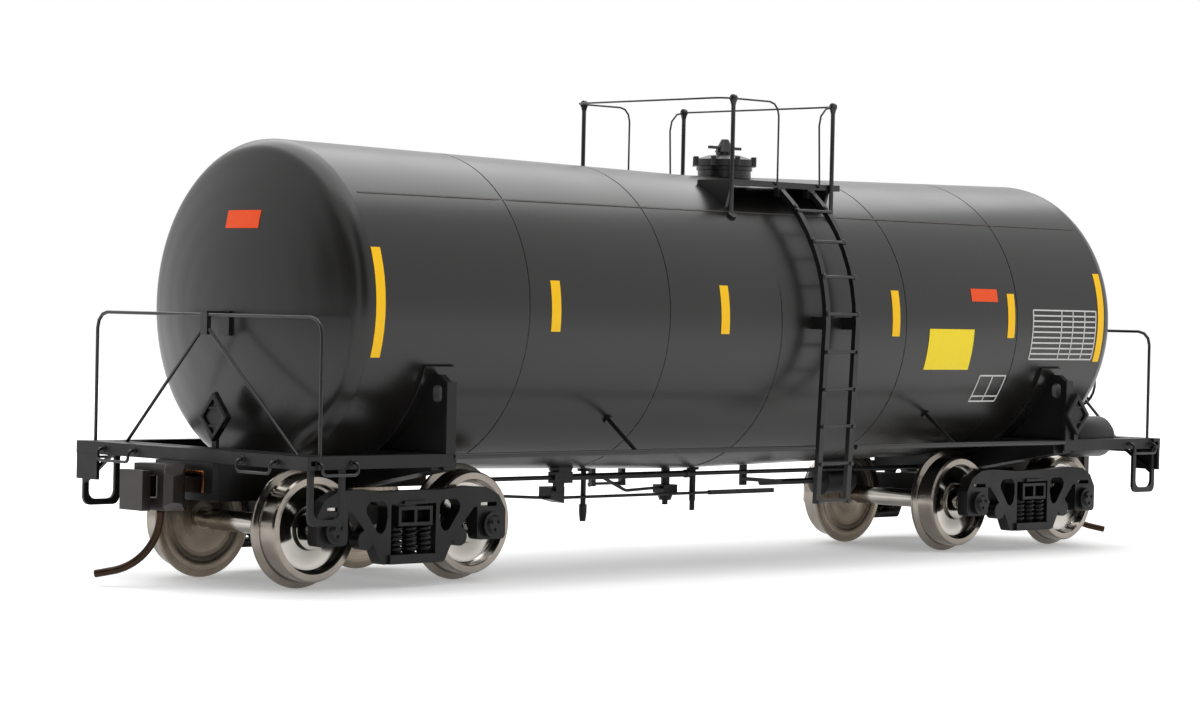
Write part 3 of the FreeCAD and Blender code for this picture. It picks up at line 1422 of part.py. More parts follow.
def knuckle():
    """Hooked knuckle: a tall nose in front on a thin tongue, and a barrel on the hinge pin."""
    lug0 = HEAD_Z + LUG_H + KNUCKLE_GAP
    lug1 = HEAD_Z + HEAD_H - LUG_H - KNUCKLE_GAP
    middle = 0.5 * (lug0 + lug1)
    outer = -HEAD_HALF
    nose = box(HEAD_FRONT - KNUCKLE_T, HEAD_FRONT, outer, outer + NOSE_W, HEAD_Z, HEAD_Z + NOSE_H)
    barrel = bar(V(HINGE_X, -HINGE_Y, lug0), V(HINGE_X, -HINGE_Y, lug1),
                 HINGE_R + HINGE_FIT + 0.5 * KNUCKLE_T, PIN_SIDES)
    tongue = box(HINGE_X, HEAD_FRONT - 0.5 * KNUCKLE_T, outer + HINGE_R, -HINGE_Y + HINGE_R,
                 middle - 0.5 * TONGUE_H, middle + 0.5 * TONGUE_H)
    whole = joined([nose, barrel, tongue])
    return whole.cut(upright(HINGE_X, -HINGE_Y, HEAD_Z - OVER, HEAD_Z + HEAD_H + OVER,
                             HINGE_R + HINGE_FIT))


def trip_pin():
    """Bent wire below the head, down and then out to the side."""
    return wire([
        V(TRIP_X, 0, HEAD_Z), V(TRIP_X, 0, TRIP_CORNER_Z),
        V(TRIP_X + TRIP_AHEAD, -TRIP_SIDE, TRIP_Z),
    ], TRIP_R, TRIP_BEND, PIN_SIDES)


def export_truck(letter, centre, first_axle):
    frame = side_frame()
    far = moved(frame, centre)
    near = moved(across(frame), centre)
    save("truck_bolster_" + letter, moved(truck_bolster(), centre))
    save("side_frame_" + letter + "_far", far)
    save("side_frame_" + letter + "_near", near)
    for index, offset in enumerate((-HALF_BASE, HALF_BASE)):
        number = str(first_axle + index)
        save("axle_" + number, moved(axle(), centre + offset))
        one = wheel()
        save("wheels_" + number, moved(one, centre + offset), moved(across(one), centre + offset))


def export_end(letter, turn):
    save("tank_head_" + letter, turn(tank_head()))
    save("saddle_pad_" + letter, turn(saddle_pad()))
    save("body_bolster_" + letter, turn(body_bolster()))
    save("stub_sill_" + letter, turn(stub_sill()))
    save("end_sill_" + letter, turn(end_sill()))
    sill = side_sill()
    save("side_sills_" + letter, turn(sill), turn(across(sill)))
    save("end_walkway_" + letter, turn(end_walkway()))
    save("end_rail_" + letter, turn(end_rail()))
    save("coupler_head_" + letter, turn(coupler_head()))
    save("knuckle_" + letter, turn(knuckle()))
    save("trip_pin_" + letter, turn(trip_pin()))


def both_ends(shapes):
    return shapes + [at_end_a(shape) for shape in shapes]


def main():
    os.makedirs("parts", exist_ok=True)
    save("tank_shell", tank_shell())
    export_end("b", lambda shape: shape)
    export_end("a", at_end_a)
    export_truck("a", -TRUCK_X, 1)
    export_truck("b", TRUCK_X, 3)
    step = joined([sill_step(-1), step_brace()])
    save("sill_steps", *both_ends([step, sill_step(1)]))
    save("corner_plates", *both_ends([corner_plate()]))
    save("grab_irons", *both_ends([end_grab(-1), end_grab(1), side_grab(-1), side_grab(1)]))
    save("placard_holders", *both_ends([end_placard(), side_placard()]))
    rails = side_rail()
    save("side_rail_far", *rails)
    save("side_rail_near", *[across(rail) for rail in rails])
    steps = ladder()
    save("ladder_far", steps)
    save("ladder_near", across(steps))
    deck = deck_side()
    save("top_walkway", deck, across(deck))
    save("top_rail_a", top_rail_a())
    save("top_rail_b", top_rail_b())
    save("manway_neck", manway_neck())
    save("manway_lid", manway_lid())
    save("bottom_outlet", *bottom_outlet())
    save("train_line", train_line())
    save("pipe_hanger", hanger())
    save("brake_rod", brake_rod())
    save("brake_valve", brake_valve())
    save("brake_cylinder", brake_cylinder())
    save("air_reservoir", air_reservoir())
    save("hand_brake_stand", hand_brake_stand())
    save("hand_brake_wheel", hand_brake_wheel())


main()
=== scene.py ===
"""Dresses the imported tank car: its finishes, printed stripes, turned wheels and small fittings.

Everything is in metres in the CAD frame: +X runs to the hand brake end, +Y is the far side of
the photograph and +Z is up. The floor is at the bottom of the wheel flanges.
"""
import json
import math

import bpy
from bpy.props import FloatProperty, FloatVectorProperty, IntProperty, PointerProperty
from mathutils import Matrix, Vector


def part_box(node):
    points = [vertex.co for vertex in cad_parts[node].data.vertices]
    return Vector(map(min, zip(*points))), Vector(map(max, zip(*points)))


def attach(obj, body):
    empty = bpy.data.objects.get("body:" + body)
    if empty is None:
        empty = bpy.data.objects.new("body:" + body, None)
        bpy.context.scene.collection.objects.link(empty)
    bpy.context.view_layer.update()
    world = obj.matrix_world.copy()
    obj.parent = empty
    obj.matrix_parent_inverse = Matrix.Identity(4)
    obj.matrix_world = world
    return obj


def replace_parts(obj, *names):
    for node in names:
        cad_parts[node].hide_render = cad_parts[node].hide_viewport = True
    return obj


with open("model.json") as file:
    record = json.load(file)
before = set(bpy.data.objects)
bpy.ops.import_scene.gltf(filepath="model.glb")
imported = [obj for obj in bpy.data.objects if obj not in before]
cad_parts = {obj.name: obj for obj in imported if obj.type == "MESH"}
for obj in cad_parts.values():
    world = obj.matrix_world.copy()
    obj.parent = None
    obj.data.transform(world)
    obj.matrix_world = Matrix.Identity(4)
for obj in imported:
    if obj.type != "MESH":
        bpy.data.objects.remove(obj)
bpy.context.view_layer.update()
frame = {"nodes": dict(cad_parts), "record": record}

bl_info = {
    "name": "Tank Car Dressing",
    "version": (1, 0, 0),
    "blender": (4, 5, 0),
    "location": "View3D > Sidebar > Tank Car",
    "description": "Finishes, printed stripes, wheels and fittings of a model tank car",
    "category": "Object",
}

MM = 0.001
# Points closer than this are one point
WELD = 0.002 * MM
# The wheels' attribute that keeps each point's distance from the axle
TURN_RADIUS = "turn_radius"
# Each end's way along X, and each side's way along Y
ENDS = {"a": -1, "b": 1}
SIDES = {"far": 1, "near": -1}


# Sizes read from the frame

def middle(node):
    """Middle of a node's box at rest."""
    low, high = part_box(node)
    return 0.5 * (low + high)


AXLE_Z = middle("axle_1").z
AXLE_X = [middle("axle_%d" % number).x for number in (1, 2, 3, 4)]
TRUCK_X = middle("truck_bolster_b").x
WHEEL_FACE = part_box("wheels_1")[1].y
FLANGE_R = 0.5 * (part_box("wheels_1")[1].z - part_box("wheels_1")[0].z)
CAP_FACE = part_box("side_frame_b_far")[1].y


# Colours and finishes

def srgb(code):
    """A hex colour as Blender's linear red, green and blue."""
    channels = [int(code[index:index + 2], 16) / 255 for index in (1, 3, 5)]
    return [c / 12.92 if c <= 0.04045 else ((c + 0.055) / 1.055) ** 2.4 for c in channels]


def add_node(tree, kind, inputs=(), links=(), **settings):
    """Adds a node with its settings, its socket values and what is linked into it."""
    node = tree.nodes.new(kind)
    for setting, value in settings.items():
        setattr(node, setting, value)
    for socket, value in dict(inputs).items():
        node.inputs[socket].default_value = value
    for socket, source in dict(links).items():
        tree.links.new(source, node.inputs[socket])
    return node


def new_finish(name, colour, **shader_values):
    """A material of one shader, with its node tree, and where the pattern is read."""
    material = bpy.data.materials.new(name)
    material.use_nodes = True
    tree = material.node_tree
    shader = tree.nodes["Principled BSDF"]
    shader.inputs["Base Color"].default_value = (*colour, 1)
    for socket, value in shader_values.items():
        shader.inputs[socket.replace("_", " ")].default_value = value
    place = add_node(tree, "ShaderNodeTexCoord").outputs["Object"]
    return material, tree, shader, place


def grain(tree, place, size, detail=3):
    """Noise whose lumps are about the given size in metres."""
    return add_node(tree, "ShaderNodeTexNoise", {"Scale": 1 / size, "Detail": detail},
                    {"Vector": place}).outputs["Fac"]


def vary(tree, source, low, high):
    """Spreads noise, most of which lies between 0.3 and 0.7, over a range of values."""
    return add_node(tree, "ShaderNodeMapRange",
                    {"From Min": 0.3, "From Max": 0.7, "To Min": low, "To Max": high},
                    {"Value": source}).outputs["Result"]


def tint(tree, source, first, second):
    """Mixes two colours by a 0 to 1 pattern."""
    mix = add_node(tree, "ShaderNodeMix", data_type="RGBA")
    mix.inputs["A"].default_value = (*first, 1)
    mix.inputs["B"].default_value = (*second, 1)
    tree.links.new(source, mix.inputs["Factor"])
    return mix.outputs["Result"]


def mottle(tree, shader, source, colours, roughness):
    """Varies a finish between two hex colours and two roughnesses by one pattern."""
    tree.links.new(tint(tree, source, *map(srgb, colours)), shader.inputs["Base Color"])
    tree.links.new(vary(tree, source, *roughness), shader.inputs["Roughness"])


def raise_by(tree, shader, source, height, strength, edge=0):
    """Bumps the surface by a pattern of some height, over edges rounded by a radius."""
    bump = add_node(tree, "ShaderNodeBump", {"Distance": height, "Strength": strength},
                    {"Height": source})
    if edge:
        rounded = add_node(tree, "ShaderNodeBevel", {"Radius": edge}, samples=4)
        tree.links.new(rounded.outputs["Normal"], bump.inputs["Normal"])
    tree.links.new(bump.outputs["Normal"], shader.inputs["Normal"])


def satin_black_paint():
    """Sprayed satin acrylic on ABS: soft reflections, broken by a fine orange peel."""
    material, tree, shader, place = new_finish(
        "sprayed satin black acrylic", srgb("#161413"), IOR=1.47)
    mottle(tree, shader, grain(tree, place, 14 * MM), ("#131211", "#1A1817"), (0.27, 0.32))
    # Real orange peel is finer: this is as coarse as the picture needs to show it
    raise_by(tree, shader, grain(tree, place, 0.5 * MM), height=0.004 * MM, strength=0.6,
             edge=0.08 * MM)
    return material


def moulded_black_plastic():
    """Injection-moulded acetal: near black, eggshell, its edges rounded by the mould."""
    material, tree, shader, place = new_finish(
        "moulded black acetal", srgb("#0B0A0A"), IOR=1.48, Specular_IOR_Level=0.32)
    mottle(tree, shader, grain(tree, place, 3 * MM), ("#080707", "#121010"), (0.34, 0.5))
    raise_by(tree, shader, grain(tree, place, 0.25 * MM), height=0.006 * MM, strength=0.7,
             edge=0.07 * MM)
    return material


def blackened_wire():
    """Painted steel wire: black, with the metal's hardness in its highlights."""
    material, tree, shader, place = new_finish(
        "black painted steel wire", srgb("#0F0F10"), IOR=1.5)
    cloud = grain(tree, place, 2 * MM)
    tree.links.new(vary(tree, cloud, 0.28, 0.42), shader.inputs["Roughness"])
    raise_by(tree, shader, grain(tree, place, 0.3 * MM), height=0.004 * MM, strength=0.5)
    return material


def turned_metal(name, colour, dark, roughness, ring, mark=0.006 * MM):
    """Bright turned metal: the tool's rings about the axle, ring wide and mark deep, streak it."""
    material, tree, shader, place = new_finish(name, colour, Metallic=1.0)
    radius = add_node(tree, "ShaderNodeAttribute", attribute_name=TURN_RADIUS).outputs["Fac"]
    rings = add_node(tree, "ShaderNodeTexNoise", {"Scale": 1 / ring, "Detail": 2},
                     {"W": radius}, noise_dimensions="1D").outputs["Fac"]
    cloud = grain(tree, place, 2.4 * MM, 5)
    tree.links.new(tint(tree, cloud, dark, colour), shader.inputs["Base Color"])
    tree.links.new(vary(tree, rings, roughness - 0.04, roughness + 0.07),
                   shader.inputs["Roughness"])
    raise_by(tree, shader, rings, height=mark, strength=0.5)
    return material


def dark_coupler_plastic():
    """Moulded coupler resin: a warm black that shows its mould grain."""
    material, tree, shader, place = new_finish(
        "moulded coupler resin", srgb("#1E1917"), IOR=1.48)
    mottle(tree, shader, grain(tree, place, 1.5 * MM), ("#181412", "#2C2420"), (0.32, 0.46))
    raise_by(tree, shader, grain(tree, place, 0.2 * MM), height=0.006 * MM, strength=0.7,
             edge=0.08 * MM)
    return material


def browned_pin_wire():
    """Chemically browned steel wire of the trip pins, worn to warmer metal in patches."""
    material, tree, shader, place = new_finish(
        "browned steel wire", srgb("#2A221D"), Metallic=1.0)
    mottle(tree, shader, grain(tree, place, 1.2 * MM), ("#201A17", "#4C3B30"), (0.3, 0.45))
    return material


def phosphor_bronze():
    """Rolled phosphor bronze of the coupler springs: warm, bright and slightly streaked."""
    material, tree, shader, place = new_finish(
        "rolled phosphor bronze", srgb("#C07A4C"), Metallic=1.0)
    streak = grain(tree, place, 0.8 * MM)
    tree.links.new(vary(tree, streak, 0.22, 0.36), shader.inputs["Roughness"])
    return material


def printed_ink(name, *colours):
    """Pad-printed ink, or grey ink standing for a painted highlight: a flat, faintly mottled
    colour with a dull sheen.
    """
    material, tree, shader, place = new_finish(
        name, srgb(colours[0]), IOR=1.45, Specular_IOR_Level=0.3)
    mottle(tree, shader, grain(tree, place, 0.7 * MM), colours, (0.4, 0.5))
    return material


FINISH_MAKERS = {
    "body_paint": satin_black_paint,
    "frame_plastic": moulded_black_plastic,
    "wire_paint": blackened_wire,
    "turned_metal": lambda: turned_metal(
        "turned nickel silver", srgb("#BDB9B2"), srgb("#A5A19B"), 0.12, 0.12 * MM),
    "coupler_plastic": dark_coupler_plastic,
    "pin_wire": browned_pin_wire,
    "bronze": phosphor_bronze,
    # Brushed by running, so its reflections are drawn out; its colour, greyer than the faces, is
    # painted shade for the darker surroundings it reflects
    "tread_with_painted_shade": lambda: turned_metal(
        "brushed wheel tread with painted shade", srgb("#9C958C"), srgb("#766F68"), 0.15, 0.2 * MM),
    # Left as the tool cut it: warmer and dull, with rings that show. Real rings are finer,
    # and these are as coarse as the picture needs
    "wheel_back": lambda: turned_metal(
        "rough turned wheel back", srgb("#A89C8D"), srgb("#7C7165"), 0.28, 0.3 * MM,
        mark=0.03 * MM),
    "yellow_ink": lambda: printed_ink("yellow pad-printed ink", "#FFCA14", "#FBC20C"),
    "orange_ink": lambda: printed_ink("orange pad-printed ink", "#F4561F", "#E84C18"),
    "label_ink": lambda: printed_ink("bright yellow pad-printed ink", "#FCE22C", "#F6D820"),
    "white_ink": lambda: printed_ink("white pad-printed ink", "#D8D8D6", "#C9C9C7"),
    # A raised line's highlight, painted as a thin grey streak of ink
    "painted_line_highlight": lambda: printed_ink("grey ink as a painted highlight", "#4A4542", "#35312F"),
}
finishes = {}


def finish(name):
    """The finish of that name, made the first time that it is wanted."""
    if name not in finishes:
        finishes[name] = FINISH_MAKERS[name]()
    return finishes[name]


# Modelling by operators

def select_none():
    bpy.ops.object.select_all(action="DESELECT")


def only(piece):
    """Selects one object alone and makes it active."""
    select_none()
    piece.select_set(True)
    bpy.context.view_layer.objects.active = piece


def edit():
    """Goes into edit mode with every point selected."""
    bpy.ops.object.mode_set(mode="EDIT")
    bpy.ops.mesh.select_mode(type="VERT")
    bpy.ops.mesh.select_all(action="SELECT")


def leave_edit():
    bpy.ops.object.mode_set(mode="OBJECT")


def join(pieces):
    """Makes one object of many."""
    select_none()
    for piece in pieces:
        piece.select_set(True)
    bpy.context.view_layer.objects.active = pieces[0]
    bpy.ops.object.join()
    return bpy.context.object


def copy_of(piece, shift=(0, 0, 0)):
    """A copy with its own mesh, moved by a step."""
    only(piece)
    bpy.ops.object.duplicate(linked=False)
    twin = bpy.context.object
    bpy.ops.transform.translate(value=shift)
    return twin


def modify(piece, kind, **settings):
    """Adds a modifier and applies it."""
    only(piece)
    modifier = piece.modifiers.new(kind, kind)
    for setting, value in settings.items():
        setattr(modifier, setting, value)
    bpy.ops.object.modifier_apply(modifier=modifier.name)


def bevel(piece, width, segments=2):
    """Rounds the edges of a piece that are sharp."""
    modify(piece, "BEVEL", width=width, segments=segments, limit_method="ANGLE")


def settle(piece, name, body, finish_name, smooth_to=30):
    """Ends a piece: its place goes into its mesh, and it gets its name, finish and body."""
    only(piece)
    bpy.ops.object.transform_apply()
    bpy.ops.object.shade_smooth_by_angle(angle=math.radians(smooth_to))
    piece.name = name
    piece.data.name = name
    piece.data.materials.clear()
    piece.data.materials.append(finish(finish_name))
    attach(piece, body)
    return piece


def turned(profile, centre, axis, steps):
    """A profile of (along, radius) drawn point by point, then spun round the axis."""
    along = Vector(axis)
    out = along.orthogonal().normalized()
    places = [centre + along * run + out * radius for run, radius in profile]
    # The first point is a small plane merged into its middle
    select_none()
    bpy.ops.mesh.primitive_plane_add(size=MM, location=places[0])
    edit()
    bpy.ops.mesh.merge(type="CENTER")
    for before, place in zip(places, places[1:]):
        bpy.ops.mesh.extrude_region_move(TRANSFORM_OT_translate={"value": place - before})
    bpy.ops.mesh.select_all(action="SELECT")
    bpy.ops.mesh.spin(steps=steps, angle=math.tau, center=centre, axis=along)
    bpy.ops.mesh.select_all(action="SELECT")
    bpy.ops.mesh.remove_doubles(threshold=WELD)
    bpy.ops.mesh.normals_make_consistent(inside=False)
    leave_edit()
    return bpy.context.object


def pick_faces(piece, wanted):
    """Goes into edit mode with only the faces selected that a test wants."""
    only(piece)
    bpy.ops.object.mode_set(mode="EDIT")
    bpy.ops.mesh.select_mode(type="FACE")
    bpy.ops.mesh.select_all(action="DESELECT")
    leave_edit()
    for face in piece.data.polygons:
        face.select = wanted(face)
    bpy.ops.object.mode_set(mode="EDIT")


def block(low, high, edge):
    """A plate between two corners with its edges rounded."""
    low, high = Vector(low), Vector(high)
    select_none()
    bpy.ops.mesh.primitive_cube_add(size=1, location=0.5 * (low + high), scale=high - low)
    bpy.ops.object.transform_apply()
    bevel(bpy.context.object, edge)
    return bpy.context.object


def coil(foot, radius, wire, pitch, turns, sides=8, steps=20):
    """A helical spring: a ring of wire set beside the upright axis and screwed up it."""
    select_none()
    bpy.ops.mesh.primitive_circle_add(vertices=sides, radius=wire, location=foot)
    edit()
    bpy.ops.transform.rotate(value=math.radians(90), orient_axis="X", center_override=foot)
    bpy.ops.transform.translate(value=(radius, 0, 0))
    leave_edit()
    spring = bpy.context.object
    modify(spring, "SCREW", screw_offset=pitch, iterations=turns, steps=steps,
           render_steps=steps)
    edit()
    bpy.ops.mesh.fill_holes(sides=0)
    bpy.ops.mesh.normals_make_consistent(inside=False)
    leave_edit()
    return spring


def bent_wire(points, bends, radius, sides, bend_steps):
    """A round bar: a ring extruded along each run and spun round each bend."""
    points = [Vector(point) for point in points]
    run = (points[1] - points[0]).normalized()
    select_none()
    bpy.ops.mesh.primitive_circle_add(
        vertices=sides, radius=radius, location=points[0],
        rotation=run.to_track_quat("Z", "Y").to_euler())
    edit()
    reached = points[0]
    for corner, after, bend in zip(points[1:-1], points[2:], bends):
        run = (corner - reached).normalized()
        ahead = (after - corner).normalized()
        angle = run.angle(ahead)
        reach = bend * math.tan(0.5 * angle)
        entry = corner - run * reach
        bpy.ops.mesh.extrude_region_move(TRANSFORM_OT_translate={"value": entry - reached})
        axis = run.cross(ahead).normalized()
        # Without a window the spin goes the other way round, so its axis is turned over
        bpy.ops.mesh.spin(steps=bend_steps, angle=angle, axis=-axis,
                          center=entry + axis.cross(run) * bend)
        reached = corner + ahead * reach
    bpy.ops.mesh.extrude_region_move(TRANSFORM_OT_translate={"value": points[-1] - reached})
    bpy.ops.mesh.select_all(action="SELECT")
    bpy.ops.mesh.fill_holes(sides=0)
    bpy.ops.mesh.normals_make_consistent(inside=False)
    leave_edit()
    return bpy.context.object


def hex_heads(places, facing, radius, height, chamfer=0.2):
    """Bolt heads at many places: one is made and its edges are cut off, the rest are copies."""
    turn = Vector(facing).to_track_quat("Z", "Y").to_euler()
    select_none()
    bpy.ops.mesh.primitive_cylinder_add(
        vertices=6, radius=radius, depth=height, location=places[0], rotation=turn)
    first = bpy.context.object
    bevel(first, chamfer * radius, segments=1)
    heads = [first]
    for place in places[1:]:
        heads.append(copy_of(first, Vector(place) - Vector(places[0])))
    return join(heads)


# Settings that a user would change

class StageSettings(bpy.types.PropertyGroup):
    """Camera, floor and light"""
    camera_place: FloatVectorProperty(
        name="Camera place", description="Where the camera stands", subtype="TRANSLATION",
        unit="LENGTH", default=(-0.25867, -0.24877, 0.02768))
    camera_yaw: FloatProperty(
        name="Yaw", description="Turn of the view from +Y towards +X", subtype="ANGLE",
        default=math.radians(44.84))
    camera_pitch: FloatProperty(
        name="Pitch", description="Tilt of the view above the level", subtype="ANGLE",
        default=math.radians(-0.8))
    camera_roll: FloatProperty(
        name="Roll", description="Turn of the camera about its view", subtype="ANGLE",
        default=math.radians(1.23))
    focal_length: FloatProperty(
        name="Focal length", description="Lens on a 36 mm wide sensor, in millimetres",
        default=97.125)
    floor_size: FloatProperty(
        name="Floor", description="Side of the floor", unit="LENGTH", default=6.0)
    floor_lift: FloatVectorProperty(
        name="Floor lift", description="White added to the floor, near the car and far from it",
        size=2, default=(0.28, 0.47))
    floor_lift_reach: FloatVectorProperty(
        name="Floor lift reach", description="Distances between which the lift changes",
        unit="LENGTH", size=2, default=(0.2, 0.9))
    surround: FloatProperty(
        name="Surround", description="Light from all round", default=0.62)
    softbox_power: FloatProperty(
        name="Softbox", description="Power of the overhead lamp", unit="POWER", default=4.6)
    softbox_place: FloatVectorProperty(
        name="Softbox place", description="Middle of the overhead lamp", subtype="TRANSLATION",
        unit="LENGTH", default=(0.1, 0.14, 0.55))
    softbox_aim: FloatVectorProperty(
        name="Softbox aim", description="Point that the overhead lamp faces",
        subtype="TRANSLATION", unit="LENGTH", default=(0, 0, 0.02))
    softbox_size: FloatVectorProperty(
        name="Softbox size", description="Sides of the overhead lamp", unit="LENGTH", size=2,
        default=(0.8, 1.0))
    flag_place: FloatVectorProperty(
        name="Flag place", description="Middle of the black card that end A reflects",
        subtype="TRANSLATION", unit="LENGTH", default=(-1.0, -0.25, 0.36))
    flag_size: FloatVectorProperty(
        name="Flag size", description="Width and height of the card at end A", unit="LENGTH",
        size=2, default=(1.1, 0.7))
    back_flag_place: FloatVectorProperty(
        name="Back flag place", description="Middle of the black card behind the camera",
        subtype="TRANSLATION", unit="LENGTH", default=(-0.3, -0.9, 0.6))
    back_flag_size: FloatVectorProperty(
        name="Back flag size", description="Width and height of the card behind the camera",
        unit="LENGTH", size=2, default=(0.6, 1.2))


class StripeSettings(bpy.types.PropertyGroup):
    """Sizes of the printed stripes"""
    width: FloatProperty(
        name="Width", description="Width of a short stripe", unit="LENGTH", default=1.28 * MM)
    end_width: FloatProperty(
        name="End width", description="Width of the long stripe at each end", unit="LENGTH",
        default=1.15 * MM)
    low: FloatProperty(
        name="Foot", description="Height of a short stripe's foot", unit="LENGTH",
        default=25.2 * MM)
    high: FloatProperty(
        name="Top", description="Height of a short stripe's top", unit="LENGTH",
        default=30.3 * MM)
    end_low: FloatProperty(
        name="End foot", description="Height of a long stripe's foot", unit="LENGTH",
        default=22.5 * MM)
    end_high: FloatProperty(
        name="End top", description="Height of a long stripe's top", unit="LENGTH",
        default=33.0 * MM)


class WheelSettings(bpy.types.PropertyGroup):
    """Sizes of the turned wheels"""
    width: FloatProperty(
        name="Width", description="Width of a wheel", unit="LENGTH", default=2.79 * MM)
    flange: FloatProperty(
        name="Flange", description="Thickness of the flange", unit="LENGTH", default=0.76 * MM)
    flange_depth: FloatProperty(
        name="Flange depth", description="How far the flange stands over the tread",
        unit="LENGTH", default=0.63 * MM)
    hub: FloatProperty(
        name="Hub", description="Radius of the hub", unit="LENGTH", default=2.0 * MM)
    bore: FloatProperty(
        name="Bore", description="Radius of the axle's seat", unit="LENGTH", default=0.8 * MM)
    steps: IntProperty(
        name="Steps", description="Flats round a wheel", default=72)


# Stage

class TANKCAR_OT_camera(bpy.types.Operator):
    """Sets the camera of the photograph"""
    bl_idname = "tankcar.camera"
    bl_label = "Camera"

    # Millimetres, which Blender's lens is counted in too
    sensor_width = 36

    def execute(self, context):
        stage = context.scene.tankcar_stage
        yaw, pitch, roll = stage.camera_yaw, stage.camera_pitch, stage.camera_roll
        ahead = Vector((math.sin(yaw) * math.cos(pitch), math.cos(yaw) * math.cos(pitch),
                        math.sin(pitch)))
        right = Vector((math.cos(yaw), -math.sin(yaw), 0))
        above = right.cross(ahead)
        wide = right * math.cos(roll) + above * math.sin(roll)
        high = above * math.cos(roll) - right * math.sin(roll)
        bpy.ops.object.camera_add()
        camera = context.object
        camera.name = "camera"
        camera.matrix_world = (Matrix.Translation(stage.camera_place)
                               @ Matrix((wide, high, -ahead)).transposed().to_4x4())
        camera.data.sensor_width = self.sensor_width
        camera.data.lens = stage.focal_length
        camera.data.clip_start = MM
        context.scene.camera = camera
        return {"FINISHED"}


class TANKCAR_OT_stage(bpy.types.Operator):
    """Adds the pale floor, the white surround, a softbox overhead and two black cards"""
    bl_idname = "tankcar.stage"
    bl_label = "Stage"

    def execute(self, context):
        stage = context.scene.tankcar_stage
        select_none()
        bpy.ops.mesh.primitive_plane_add(size=stage.floor_size)
        floor = context.object
        floor.name = "floor"
        floor.data.materials.append(self.paper(stage))
        self.surround(context.scene, stage.surround)
        bpy.ops.object.light_add(type="AREA", location=stage.softbox_place)
        lamp = context.object
        lamp.name = "softbox"
        lamp.data.shape = "RECTANGLE"
        lamp.data.size, lamp.data.size_y = stage.softbox_size
        lamp.data.energy = stage.softbox_power
        lamp.rotation_euler = (Vector(stage.softbox_aim) - lamp.location).to_track_quat(
            "-Z", "Y").to_euler()
        felt = self.felt()
        self.flag("end_card", felt, stage.flag_place, stage.flag_size, 90)
        self.flag("back_card", felt, stage.back_flag_place, stage.back_flag_size, 0)
        context.scene.view_settings.view_transform = "Standard"
        return {"FINISHED"}

    def felt(self):
        """Black felt: matt, and so dark that a reflection of it reads as empty studio."""
        return new_finish("black felt", srgb("#060606"), Roughness=1.0)[0]

    def flag(self, name, felt, place, size, turn):
        """An upright black card that only reflections show, facing -Y before its turn."""
        select_none()
        bpy.ops.mesh.primitive_plane_add(
            size=1, location=place, rotation=(math.radians(90), 0, math.radians(turn)))
        card = bpy.context.object
        card.name = name
        card.scale = (*size, 1)
        bpy.ops.object.transform_apply()
        card.data.materials.append(felt)
        card.visible_camera = False
        card.visible_diffuse = False
        card.visible_transmission = False
        card.visible_shadow = False

    def paper(self, stage):
        """White background paper: matt, and white to the camera where no shadow falls."""
        material, tree, shader, place = new_finish(
            "matt white paper", srgb("#F4F4F4"), Roughness=0.9)
        fibre = grain(tree, place, 1.2 * MM)
        raise_by(tree, shader, fibre, height=0.01 * MM, strength=0.2)
        shader.inputs["Emission Color"].default_value = (1, 1, 1, 1)
        # The lamp lights the middle of the floor, and the lift grows where its light fades
        away = add_node(tree, "ShaderNodeVectorMath", links={0: place}, operation="LENGTH")
        start, end = stage.floor_lift_reach
        near, far = stage.floor_lift
        level = add_node(tree, "ShaderNodeMapRange",
                         {"From Min": start, "From Max": end, "To Min": near, "To Max": far},
                         {"Value": away.outputs["Value"]})
        lift = add_node(tree, "ShaderNodeMath",
                        links={0: self.seen(tree), 1: level.outputs["Result"]},
                        operation="MULTIPLY")
        tree.links.new(lift.outputs[0], shader.inputs["Emission Strength"])
        return material

    def seen(self, tree):
        """1 to the camera, in reflections and through clear pieces, and 0 as light."""
        path = add_node(tree, "ShaderNodeLightPath").outputs
        direct = add_node(tree, "ShaderNodeMath", operation="MAXIMUM", links={
            0: path["Is Camera Ray"], 1: path["Is Glossy Ray"]})
        return add_node(tree, "ShaderNodeMath", operation="MAXIMUM", links={
            0: direct.outputs[0], 1: path["Is Transmission Ray"]}).outputs[0]

    def surround(self, scene, strength):
        """Lights with a soft white, and shows full white to the camera and in reflections."""
        scene.world = bpy.data.worlds.new("white surround")
        scene.world.use_nodes = True
        tree = scene.world.node_tree
        level = add_node(tree, "ShaderNodeMapRange", {"To Min": strength, "To Max": 1.0},
                         {"Value": self.seen(tree)})
        background = tree.nodes["Background"]
        background.inputs["Color"].default_value = (1, 1, 1, 1)
        tree.links.new(level.outputs["Result"], background.inputs["Strength"])


# Finishes of the CAD nodes

